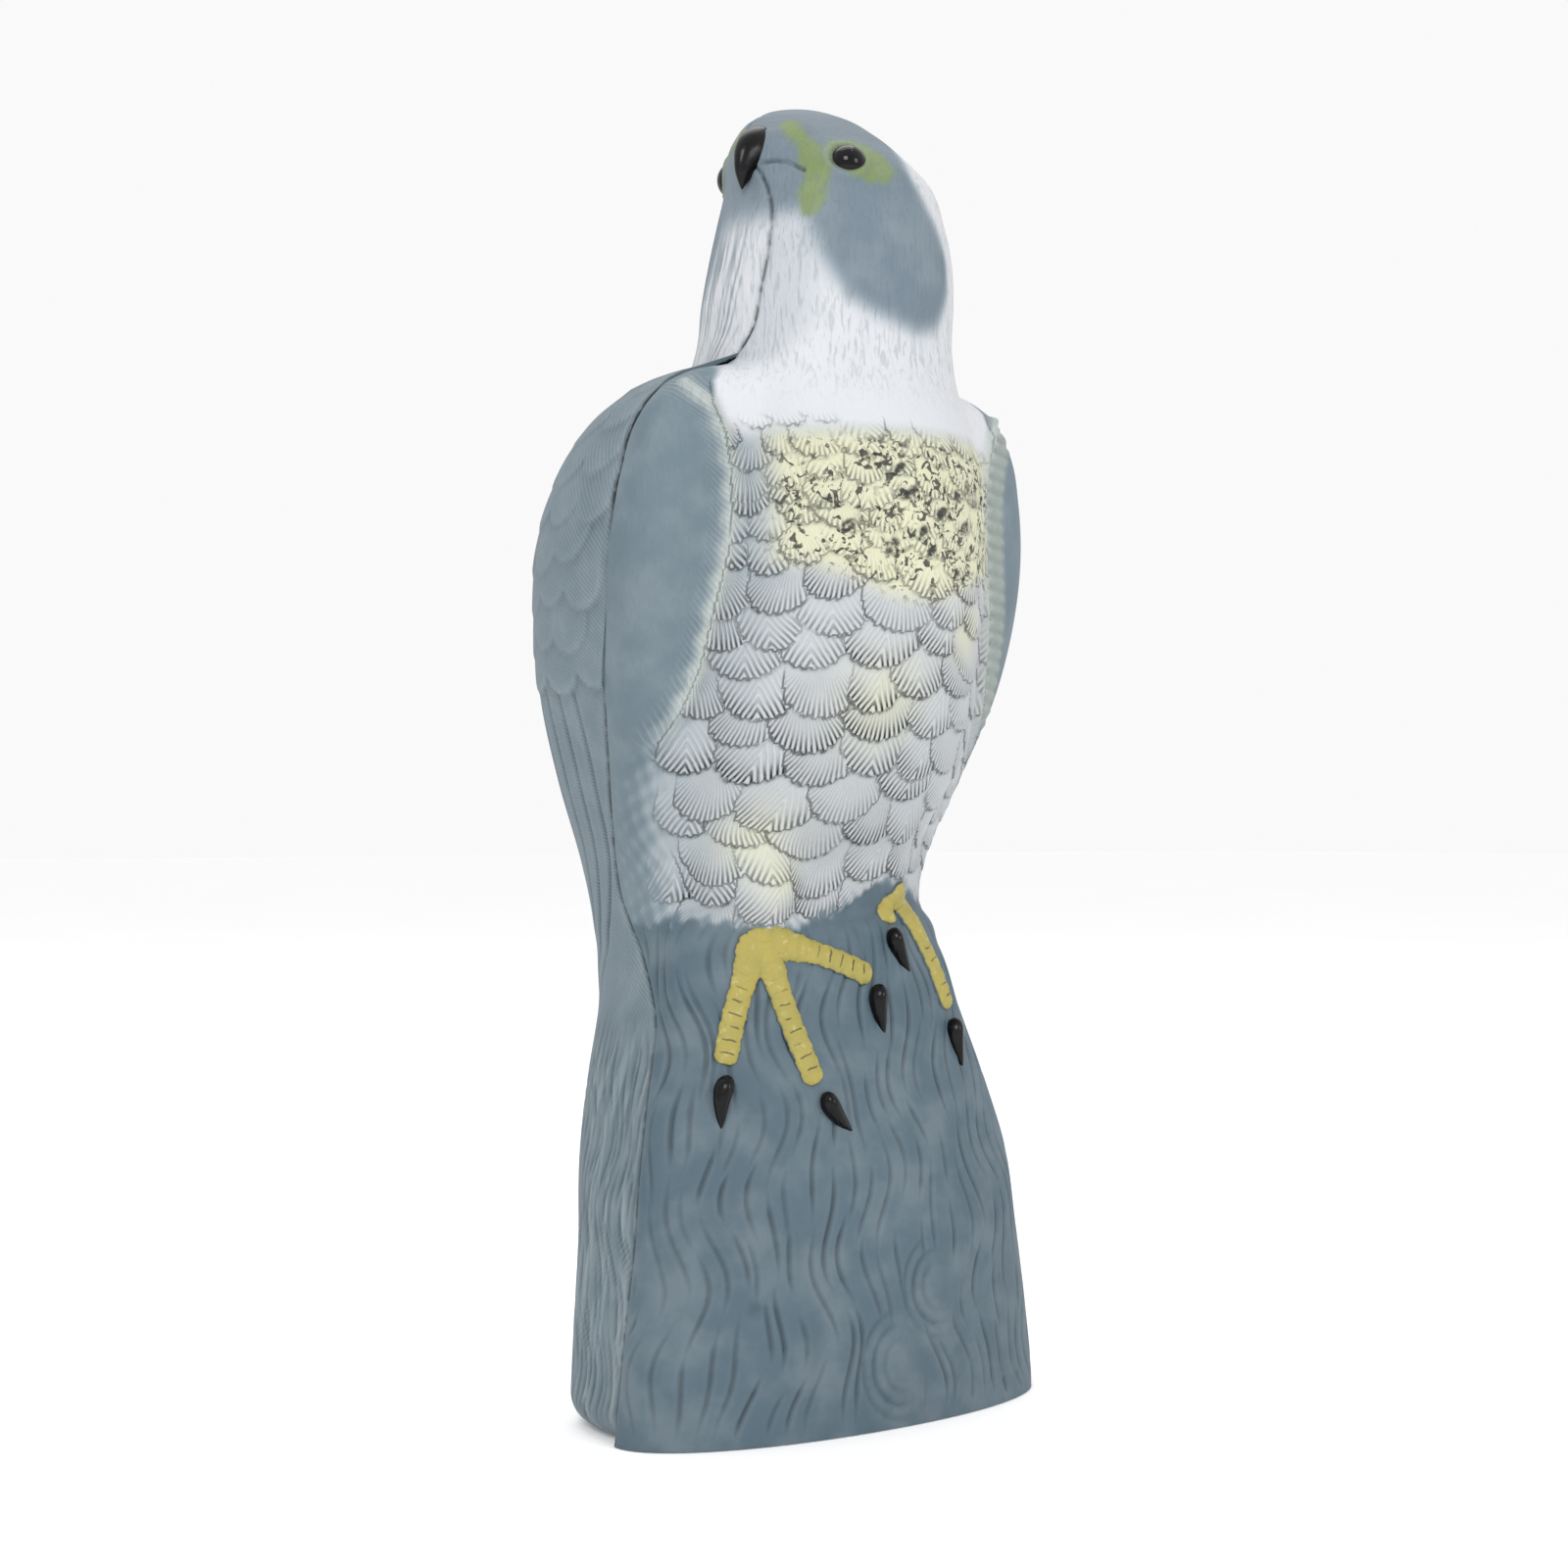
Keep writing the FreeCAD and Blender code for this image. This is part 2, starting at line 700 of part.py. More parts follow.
def filler_boss():
    middle = FreeCAD.Vector(0, size("hole_middle"), 0)
    return Part.makeCylinder(size("boss_diameter") / 2, size("boss_height"), middle)


def filler_hole():
    """The hole through the base, stepped for the plug's flange."""
    middle = FreeCAD.Vector(0, size("hole_middle"), 0)
    step = size("flange_recess") + size("flange_thickness")
    bore = Part.makeCylinder(size("hole_diameter") / 2, 2 * size("boss_height"), middle)
    return bore.fuse(Part.makeCylinder(size("flange_diameter") / 2, step, middle))


def add_shell(name, shape):
    shell = DOC.addObject("Part::Feature", name)
    shell.Label = name
    shell.Shape = shape
    shell.Placement = FreeCAD.Placement()
    return shell


def make_shells(inserts):
    """The two moulded halves, each pocketed for the pieces set into it."""
    cavity = cavity_solid()
    tool = parting_tool()
    pockets = [body.Shape for body in inserts]
    toes = [solid for path in TOES.values() for solid in toe_solids(path)]
    first, *others = ankle_solids() + toes
    feet = first.multiFuse(others)
    front = outer_solid(0.0).common(tool).fuse(feet).cut(cavity)
    front = front.fuse(eye_boss("left")).cut(pockets)
    rear = outer_solid(size("rear_edge_round")).cut(tool).cut(cavity)
    rear = rear.fuse([eye_boss("right"), filler_boss()]).cut(pockets + [filler_hole()])
    return [add_shell("front_shell", front), add_shell("rear_shell", rear)]


def check(pieces):
    """Stops if the document or any piece is broken."""
    for thing in DOC.Objects:
        if {"Invalid", "Error"} & set(thing.State):
            raise RuntimeError(f"{thing.Name} failed: {thing.State}")
    for piece in pieces:
        if piece.Shape.isNull() or not piece.Shape.isValid() or len(piece.Shape.Solids) != 1:
            raise RuntimeError(f"{piece.Label} has no single valid solid")


def export(pieces):
    os.makedirs("parts", exist_ok=True)
    for piece in pieces:
        piece.Shape.exportStep(os.path.join("parts", piece.Label + ".step"))


write_sheet()
eyes = [make_eye(side) for side in EYES]
retainers = [make_eye_retainer(side) for side in EYES]
claws = [make_claw(name, path) for name, path in TOES.items()]
beak = make_beak()
plug = make_plug()
DOC.recompute()
shells = make_shells(eyes + retainers + claws + [beak])
DOC.recompute()
everything = shells + eyes + retainers + claws + [beak, plug]
check(everything)
export(everything)
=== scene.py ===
import math
import bmesh
import bpy
import numpy as np
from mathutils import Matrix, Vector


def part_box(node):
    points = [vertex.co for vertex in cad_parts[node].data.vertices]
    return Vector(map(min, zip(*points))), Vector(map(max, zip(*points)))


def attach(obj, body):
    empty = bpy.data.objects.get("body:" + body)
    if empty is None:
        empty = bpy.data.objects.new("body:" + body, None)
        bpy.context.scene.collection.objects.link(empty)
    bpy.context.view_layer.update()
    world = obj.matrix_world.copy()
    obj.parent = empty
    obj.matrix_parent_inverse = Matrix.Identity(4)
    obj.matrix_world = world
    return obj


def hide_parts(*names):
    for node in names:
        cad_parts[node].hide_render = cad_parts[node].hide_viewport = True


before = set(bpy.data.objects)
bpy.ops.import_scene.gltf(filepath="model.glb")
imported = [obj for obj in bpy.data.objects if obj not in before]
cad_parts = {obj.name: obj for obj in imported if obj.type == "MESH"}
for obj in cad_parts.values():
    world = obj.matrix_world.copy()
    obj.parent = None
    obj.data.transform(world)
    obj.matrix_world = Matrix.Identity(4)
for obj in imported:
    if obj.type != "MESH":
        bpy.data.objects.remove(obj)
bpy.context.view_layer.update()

MM = 0.001
CHANCE = np.random.default_rng(11)

# The decoy's form in millimetres, as in the CAD: how square each form's front and back are, then
# a stack of outlines: level, half width, middle in X, and the Y of its widest place, front and back.
FORMS = {
    "stump": (2.1, 4.0, [
        (0, 79, 0, 0, -31, 50), (28, 76.5, 0, 0, -29.5, 53), (54, 73, 0, 0, -27, 57),
        (80, 70, 0, 1, -22, 62), (100, 65, 0, 5, -19, 66), (125, 57, 0, 9, -13, 70),
        (145, 51, 0, 12, -8, 72), (157, 45, 0, 16, -2, 70), (165, 25, 0, 20, 10, 50),
    ]),
    "mantle": (2.7, 3.0, [
        (110, 30, 0, 45, 33, 66), (118, 42, 0, 36, 14, 73), (130, 49, 0, 32, 6, 78),
        (149, 52, 0, 34, 4, 81), (173, 56.5, 0, 36, 4, 84.5), (199, 65.5, 0, 28, -4, 90),
        (225, 73, 0, 17, -13, 95), (250, 76.5, 0, 9, -18, 96.5), (275, 77.5, 0, 5, -20, 93),
        (291, 75.5, 0, 3, -20, 85), (306, 71, 0, 1, -20, 71.5), (315, 65, 0, 0, -19.5, 59),
        (320, 59, 0, 0, -18, 49), (324, 49, 0, 0, -14, 40), (327, 32, 0, 0, -8, 28),
    ]),
    "torso": (2.0, 2.0, [
        (150, 20, 0, 24, 10, 38), (157, 32, 0, 24, -2, 50), (165, 36, 0, 23, -5, 53),
        (173, 40, 0, 22, -8, 56), (186, 45, 0, 19, -19, 59), (199, 49, 0, 14, -28, 60),
        (212, 51, 0, 8, -35, 61), (225, 50, 0, 4, -40, 64), (250, 49, 0, 2, -46.5, 67),
        (275, 48, 0, 0, -50, 74), (295, 46.5, 0, 0, -49, 71), (310, 44, 0, 0, -44.5, 65),
        (323, 40.5, 0, 0, -40, 56), (335, 39, 0, 0, -38.5, 48), (348, 39.5, 0, 0, -39, 42.5),
        (360, 38.5, 0, -1, -39, 38.5), (373, 36, 0, -1, -36.5, 35), (385, 32.5, -0.5, 0, -32.5, 32),
        (394, 28, -3, 3, -25, 31), (401, 22.5, -5, 5, -17.5, 27.5), (406, 16, -7, 6, -10, 22),
        (409, 8, -8, 7, -1, 15), (410, 2, -8, 7, 5, 9),
    ]),
}
LUMPS = [  # middle, radii, turn about Z in degrees: thighs, brow and the root of the bill
    ((-27, 10, 174), (17, 20, 27), 0), ((20, 14, 178), (15, 20, 24), 0),
    ((-14, 2, 391), (16, 15.5, 12), 17), ((-20, 0.5, 390), (12, 7.5, 9), 17),
]
SEAM = [
    (-10, 0), (40, 0), (80, 1), (100, 5), (112, 8), (124, 12), (136, 20), (149, 30), (161, 37),
    (173, 37), (186, 32), (199, 26), (225, 16), (250, 9), (275, 5), (291, 3), (315, 0),
    (325, -4), (335, -11), (348, -15), (362, -17), (374, -15), (384, -9), (392, -1), (400, 5), (420, 8),
]
BLEND = 0.5
REAR_EDGE_ROUND = 10.0
TOP = 409.4
CROWN = 410.0
WALL = 2.2
GAP_RANGE = (-60, 200)

# Each half's skin is a grid: height bands with the distance between rows, and its columns.
FRONT_BANDS = [(0, 150, 1.0), (150, 320, 0.6), (320, 409, 0.8)]
REAR_BANDS = [(0, 150, 1.5), (150, 330, 1.3), (330, 409, 1.1)]
FRONT_COLUMNS, REAR_COLUMNS = 301, 241
FLOOR_ROWS, CROWN_ROWS = 14, 6
FLOOR_PINCH, CROWN_PINCH = 0.03, 0.05
FLOOR_FADE = 3
INNER_STEP = 6  # the plain inside keeps every sixth row and column
RAYS, RAY_REACH, HALVINGS = 241, 130.0, 22
SHARP_ANGLE = math.radians(62)

# The filler hole: its middle in Y, the radii of its bores, the wide one's depth, and the boss.
HOLE_Y = 20.0
BORE, FLANGE_BORE, FLANGE_SEAT = 12.0, 15.0, 1.6
HOLE_BELOW, HOLE_ABOVE = -3, 14
BOSS_RADIUS, BOSS_BASE, BOSS_TOP = 19.0, 2.4, 8.0

# The head looks to the bird's right: its middle, the way it faces, and its left side.
HEAD_X, HEAD_Y = -4.0, 5.0
FACE = np.array([-0.956, -0.292])
CHEEK = np.array([0.292, -0.956])

# Toes lie on the skin: the X and Z of each one's root, knuckle and tip, and the way its claw points.
TOES = {
    "right_outer_claw": ([(-29, 151), (-38, 133), (-46, 111)], (-3, -17)),
    "right_middle_claw": ([(-29, 151), (-24, 128), (-17, 104)], (11.5, -13.5)),
    "right_inner_claw": ([(-28, 149), (-9, 144.5), (10, 136.5)], (1.5, -15)),
    "left_inner_claw": ([(28, 163), (23, 159), (20, 153.5)], (6.5, -15.5)),
    "left_middle_claw": ([(27, 164), (36, 146), (44, 124)], (2, -16)),
}
PALMS = {
    "right": [(-32.5, 147.5), (-28, 149.5), (-23.5, 147)],
    "left": [(24.5, 161.5), (27.5, 163), (30.5, 160.5)],
}
CLAW_LENGTH = 16.0

# The beak: share of its length, then how far out, how far up, half height and half width.
BEAK_REACH, BEAK_LEVEL = 20.0, 391.5
BEAK = [
    (0.0, 0.0, 0.0, 9.2, 6.0), (0.3, 5.0, 0.2, 8.8, 5.8), (0.55, 9.0, -1.2, 7.4, 5.0),
    (0.75, 11.8, -4.2, 5.2, 3.6), (0.9, 13.4, -8.0, 2.9, 2.0), (1.0, 14.0, -12.0, 0.3, 0.3),
]

# Paint, as it looks in plain daylight, 0 to 255.
SLATE = (110, 130, 140)
BARK = (90, 113, 126)
# Dark slate for painted shade in hollows and grooves.
SLATE_PAINTED_SHADE = (58, 74, 84)
SLATE_PALE = (168, 182, 188)
WING = (117, 137, 148)
WHITE = (240, 242, 246)
BREAST = (212, 217, 221)
CREAM = (212, 219, 212)
RIB_CREAM = (182, 191, 180)
LEMON = (243, 242, 206)
YELLOW = (186, 174, 92)
GREEN = (134, 156, 88)
HOOD = (124, 142, 155)
CROWN_GREY = (120, 135, 146)
# Near-black paint for lines and spots, also used for painted shade and painted shadow.
INK_AND_SHADE = (30, 32, 33)
STUDIO_GAIN = 0.62

# Levels and sizes of the modelled relief.
NECK_WHITE = (322, 329)
FACE_LEVEL = 370
FEATHER_LEVELS, FEATHER_SPAN = (146.0, 304), 75.0
MANTLE_LEVELS, QUILL_LEVELS = (226.0, 318), (116, 252)
STREAK_CELLS = (40, 400)


def linear(color):
    """Daylight values turned into light, a little darker because the studio is bright."""
    value = np.asarray(color, float) / 255
    return STUDIO_GAIN * np.where(value <= 0.04045, value / 12.92, ((value + 0.055) / 1.055) ** 2.4)


def rgba(color):
    return (*linear(color), 1.0)


def smooth(low, high, value):
    step = np.clip((value - low) / (high - low), 0, 1)
    return step * step * (3 - 2 * step)


def bell(value, width):
    return np.exp(-((value / width) ** 2))


def mix(base, color, amount):
    return base + (np.asarray(color, float) - base) * np.asarray(amount)[..., None]


def softened(field, passes):
    """A field on the grid, blurred a little each pass."""
    for _ in range(passes):
        for axis in (0, 1):
            edge = [(1, 1) if a == axis else (0, 0) for a in (0, 1)]
            wide = np.pad(field, edge, mode="edge")
            before = np.take(wide, range(0, field.shape[axis]), axis)
            after = np.take(wide, range(2, field.shape[axis] + 2), axis)
            field = field * 0.5 + (before + after) * 0.25
    return field


def line_distance(points, line):
    """How far each point is from a line of straight runs."""
    best = np.full(points.shape[:-1], 1e9)
    for start, end in zip(line, line[1:]):
        start, way = np.array(start, float), np.array(end, float) - np.array(start, float)
        share = np.clip(((points - start) @ way) / (way @ way), 0, 1)
        best = np.minimum(best, np.linalg.norm(points - start - share[..., None] * way, axis=-1))
    return best


def placed(name, data):
    """A new object in the scene."""
    thing = bpy.data.objects.new(name, data)
    bpy.context.scene.collection.objects.link(thing)
    return thing


def outline_depth(u, v, outline):
    """How deep each point lies inside a closed outline, negative outside it."""
    closed = outline + outline[:1]
    edge = line_distance(np.stack([u, v], -1), closed)
    inside = np.zeros(u.shape, bool)
    for (u0, v0), (u1, v1) in zip(closed, closed[1:]):
        if v0 != v1:
            inside ^= ((v0 > v) != (v1 > v)) & (u < u0 + (v - v0) * (u1 - u0) / (v1 - v0))
    return np.where(inside, edge, -edge)


def eased(rows, levels):
    """Each column of a table on a smooth curve through its rows."""
    table = np.array(rows, float)
    heights = table[:, 0]
    levels = np.clip(levels, heights[0], heights[-1])
    lower = np.clip(np.searchsorted(heights, levels, side="right") - 1, 0, len(heights) - 2)
    span = heights[lower + 1] - heights[lower]
    step = (levels - heights[lower]) / span
    gaps = np.diff(heights)
    columns = []
    for values in table[:, 1:].T:
        secants = np.diff(values) / gaps
        slopes = np.zeros(len(values))
        slopes[1:-1] = (secants[:-1] * gaps[1:] + secants[1:] * gaps[:-1]) / (gaps[:-1] + gaps[1:])
        columns.append(
            values[lower] * (2 * step**3 - 3 * step**2 + 1)
            + values[lower + 1] * (3 * step**2 - 2 * step**3)
            + slopes[lower] * span * (step**3 - 2 * step**2 + step)
            + slopes[lower + 1] * span * (step**3 - step**2)
        )
    return columns


def body_gap(x, y, z):
    """Rough distance to the decoy's skin, negative inside. z has one value per row of x and y."""
    column = z[:, None]
    total = np.zeros_like(x)
    for front_power, back_power, rows in FORMS.values():
        half_width, middle_x, widest_y, front_y, back_y = (v[:, None] for v in eased(rows, z))
        ahead = y < widest_y
        depth = np.where(ahead, widest_y - front_y, back_y - widest_y)
        power = np.where(ahead, front_power, back_power)
        reach = np.abs((x - middle_x) / half_width) ** power + np.abs((y - widest_y) / depth) ** power
        gap = (reach ** (1 / power) - 1) * np.minimum(half_width, depth)
        active = (column >= rows[0][0]) & (column <= rows[-1][0])
        total += np.where(active, np.exp(-BLEND * np.clip(gap, *GAP_RANGE)), 0)
    for middle, radii, turn in LUMPS:
        angle = np.radians(turn)
        along = (x - middle[0]) * np.cos(angle) + (y - middle[1]) * np.sin(angle)
        across = (y - middle[1]) * np.cos(angle) - (x - middle[0]) * np.sin(angle)
        upward = column - middle[2]
        reach = np.sqrt((along / radii[0]) ** 2 + (across / radii[1]) ** 2 + (upward / radii[2]) ** 2)
        gap = (reach - 1) * min(radii)
        active = np.abs(upward) < radii[2]
        total += np.where(active, np.exp(-BLEND * np.clip(gap, *GAP_RANGE)), 0)
    return -np.log(total) / BLEND


def seam_depth(z):
    return eased(SEAM, z)[0]


def reach_along(x0, y0, z, dx, dy):
    """How far level rays from inside the body run before they leave it."""
    low = np.zeros_like(dx)
    high = np.full_like(dx, RAY_REACH)
    for _ in range(HALVINGS):
        middle = (low + high) / 2
        inside = body_gap(x0 + middle * dx, y0 + middle * dy, z) < 0
        low = np.where(inside, middle, low)
        high = np.where(inside, high, middle)
    return low


def skin_grid(heights, columns, rear):
    """Evenly spaced points on one half's skin: rows upwards, columns from the bird's right."""
    turn = np.linspace(0, np.pi, RAYS)[None, :]
    way = 1 if rear else -1
    middle_x = eased(FORMS["torso"][2], heights)[1][:, None]
    middle_y = seam_depth(heights)[:, None]
    dx = -np.cos(turn) * np.ones_like(middle_x)
    dy = way * np.sin(turn) * np.ones_like(middle_x)
    radius = reach_along(middle_x, middle_y, heights, dx, dy)
    if rear:
        foot = np.clip(REAR_EDGE_ROUND - heights, 0, None)
        radius -= (REAR_EDGE_ROUND - np.sqrt(REAR_EDGE_ROUND**2 - foot**2))[:, None]
    x, y = middle_x + radius * dx, middle_y + radius * dy
    run = np.zeros_like(x)
    run[:, 1:] = np.cumsum(np.hypot(np.diff(x), np.diff(y)), axis=1)
    share = np.linspace(0, 1, columns)
    grid = np.empty((len(heights), columns, 3))
    for row in range(len(heights)):
        grid[row, :, 0] = np.interp(share * run[row, -1], run[row], x[row])
        grid[row, :, 1] = np.interp(share * run[row, -1], run[row], y[row])
    grid[:, :, 2] = heights[:, None]
    return grid


def skin_y(x, z):
    """Depth of the front skin straight ahead of points inside the body."""
    x, z = np.atleast_1d(x).astype(float), np.atleast_1d(z).astype(float)
    start = seam_depth(z)
    still, forward = np.zeros((len(x), 1)), -np.ones((len(x), 1))
    ahead = reach_along(x[:, None], start[:, None], z, still, forward)
    return start - ahead[:, 0]


class Half:
    """One half's skin as a rectangle of points, from the middle of the floor up to the crown."""

    def __init__(self, rear, bands, columns):
        levels = [np.arange(low, high - pitch / 2, pitch) for low, high, pitch in bands]
        heights = np.concatenate([*levels, [TOP]])
        skin = skin_grid(heights, columns, rear)
        out = np.linspace(0, 1, FLOOR_ROWS, endpoint=False)[:, None]
        floor = np.zeros((FLOOR_ROWS, columns, 3))
        floor[:, :, 0] = skin[0, :, 0] * (1 - FLOOR_PINCH + FLOOR_PINCH * out)
        floor[:, :, 1] = skin[0, :, 1] * out
        close = np.linspace(0, 1, CROWN_ROWS + 1)[1:, None]
        crown = np.zeros((CROWN_ROWS, columns, 3))
        parting = seam_depth(np.array([TOP]))[0]
        middle = skin[-1, :, 0].mean()
        crown[:, :, 0] = middle + (skin[-1, :, 0] - middle) * (1 - CROWN_PINCH * close)
        crown[:, :, 1] = skin[-1, :, 1] + (parting - skin[-1, :, 1]) * close
        crown[:, :, 2] = TOP + (CROWN - TOP) * (1 - (1 - close) ** 2)
        self.rear = rear
        self.points = np.concatenate([floor, skin, crown])
        spare = (len(self.points) - 1) % INNER_STEP
        if spare:
            raise RuntimeError(f"{spare} rows too many for the inner sheet")
        across = np.gradient(self.points, axis=1)
        upward = np.gradient(self.points, axis=0)
        normal = np.cross(across, upward) * (-1 if rear else 1)
        self.normal = normal / (np.linalg.norm(normal, axis=-1, keepdims=True) + 1e-9)
        self.normal[:FLOOR_ROWS] = (0, 0, -1)
        self.normal[-CROWN_ROWS - 1:] = (0, 0, 1)
        self.x, self.y, self.z = np.moveaxis(self.points, -1, 0)
        run = np.zeros_like(self.x)
        run[:, 1:] = np.cumsum(np.hypot(np.diff(self.x), np.diff(self.y)), axis=1)
        self.from_right = run
        self.from_left = run[:, -1:] - run
        middle_run = np.array([np.interp(0, self.x[row], run[row]) for row in range(len(run))])
        self.arc = run - middle_run[:, None]
        self.seam = np.minimum(run, self.from_left)
        self.face = (self.x - HEAD_X) * FACE[0] + (self.y - HEAD_Y) * FACE[1]
        self.cheek = (self.x - HEAD_X) * CHEEK[0] + (self.y - HEAD_Y) * CHEEK[1]
        for field in ("relief", "phase", "stroke", "barbs", "ink", "speckle"):
            setattr(self, field, np.zeros_like(self.x))
        self.wisps = smooth(306, 330, self.z) * smooth(404, 392, self.z)
        self.paint = np.zeros_like(self.points) + np.array(SLATE, float)

    def coat(self, color, amount):
        self.paint = mix(self.paint, color, amount)

    def window(self, low, high):
        """The rows whose height lies between two levels."""
        rows = np.nonzero((self.z[:, 0] >= low) & (self.z[:, 0] <= high))[0]
        return slice(rows[0], rows[-1] + 1) if len(rows) else slice(0, 0)

    def build(self, name):
        """The closed thin shell: the modelled skin outside, a plain one inside, joined round the rim."""
        relief = self.relief * smooth(0, FLOOR_FADE, self.z)
        lifted = self.points + self.normal * relief[..., None]
        lifted[..., 2] = np.maximum(lifted[..., 2], 0)
        inner = (self.points - self.normal * WALL)[::INNER_STEP, ::INNER_STEP]
        rows, columns = lifted.shape[:2]
        outside = np.arange(rows * columns).reshape(rows, columns)
        inside = rows * columns + np.arange(inner.shape[0] * inner.shape[1]).reshape(inner.shape[:2])

        def tiles(index):
            corners = [index[:-1, :-1], index[:-1, 1:], index[1:, 1:], index[1:, :-1]]
            return np.stack(corners, -1).reshape(-1, 4)

        faces = tiles(outside).tolist() + tiles(inside)[:, ::-1].tolist()
        rims = [
            (outside[0], inside[0], True), (outside[-1], inside[-1], False),
            (outside[:, 0], inside[:, 0], False), (outside[:, -1], inside[:, -1], True),
        ]
        for rim, back, turned in rims:
            for step in range(len(back) - 1):
                run = list(rim[step * INNER_STEP:(step + 1) * INNER_STEP + 1])
                face = run + [back[step + 1], back[step]]
                faces.append(face[::-1] if turned else face)
        if self.rear:
            faces = [face[::-1] for face in faces]
        spots = np.concatenate([lifted.reshape(-1, 3), inner.reshape(-1, 3)]) * MM
        mesh = bpy.data.meshes.new(name)
        mesh.from_pydata(spots.tolist(), [], faces)
        count = len(spots)
        paint = np.ones((count, 4))
        paint[:, :3] = linear(SLATE)
        paint[: rows * columns, :3] = linear(np.clip(self.paint, 0, 255)).reshape(-1, 3)
        layer = mesh.attributes.new("paint", "FLOAT_COLOR", "POINT")
        layer.data.foreach_set("color", paint.ravel().astype(np.float32))
        for label in ("phase", "stroke", "barbs", "ink", "speckle", "wisps"):
            values = np.zeros(count, np.float32)
            values[: rows * columns] = getattr(self, label).ravel()
            mesh.attributes.new(label, "FLOAT", "POINT").data.foreach_set("value", values)
        mesh.polygons.foreach_set("use_smooth", np.ones(len(mesh.polygons), bool))
        mesh.set_sharp_from_angle(angle=SHARP_ANGLE)
        return placed(name, mesh)


# Lines on the skin, in millimetres. Landmarks were picked by eye in the photograph and a scratch
# script turned them into millimetres. WING_EDGE and most of ZONE_EDGE keep its results almost as
# they came; the hood, cere, mouth and belly's edge have them rounded, thinned or moved by hand.
WING_EDGE = [  # on the bird's right, and mirrored on its left
    (-60, -9, 317), (-55, -15, 311), (-51, -17, 303), (-49, -18, 291), (-49, -18, 279), (-50, -17, 265),
    (-53, -14, 250), (-55, -9, 232), (-58, -3, 219), (-62, 4, 210),
]
ZONE_EDGE = [  # height, and half width of the feathered breast there
    (150, 50), (164, 50), (182, 55), (197, 60), (210, 61), (219, 58), (232, 55), (250, 53),
    (265, 50), (279, 49), (291, 49), (303, 51), (311, 54), (318, 53), (325, 47), (330, 60),
]
BELLY_EDGE = [  # X, and height
    (-60, 150), (-48, 157), (-30, 153.5), (-21, 152), (-1, 158), (16, 167), (30, 168), (45, 160),
    (60, 156),
]
HOOD_OUTLINE = [  # along the face, and height
    (31, 397), (31, 370), (31, 364), (30, 357), (28, 351), (25, 345), (20, 341), (13, 338), (4, 335),
    (-6, 338), (-13, 349), (-12, 360), (-8, 369), (-4, 375), (-1, 380), (1, 385), (-4, 392), (-4, 397),
]
# Beside the face: along it, across it and the height. Both cheeks have the same marks.
CERE_BAND = [
    (23, 9, 400), (24, 15, 395), (25, 19, 391), (26, 22, 386), (27, 23.5, 380), (29, 23.5, 375),
    (30, 23, 371),
]
MOUTH = [(31, 5, 387.5), (30, 10, 387.5), (29, 14, 386.5), (28.3, 19.5, 383.5)]
EYE_PATCH = (14.5, 387)
KNOTS = [(22, 41, 12), (6, 19, 13)]  # place along the skin, height and size
KNOT_RINGS = [(0.55, 0.5), (0.85, 0.7), (1.15, 0.5)]  # share of the knot's size, and depth
DIMPLE = (-44, 40)
BLUSHES = [(-35, 180, 11), (-26, 168, 8), (-8, 222, 14), (24, 244, 9)]  # lemon spots on the breast


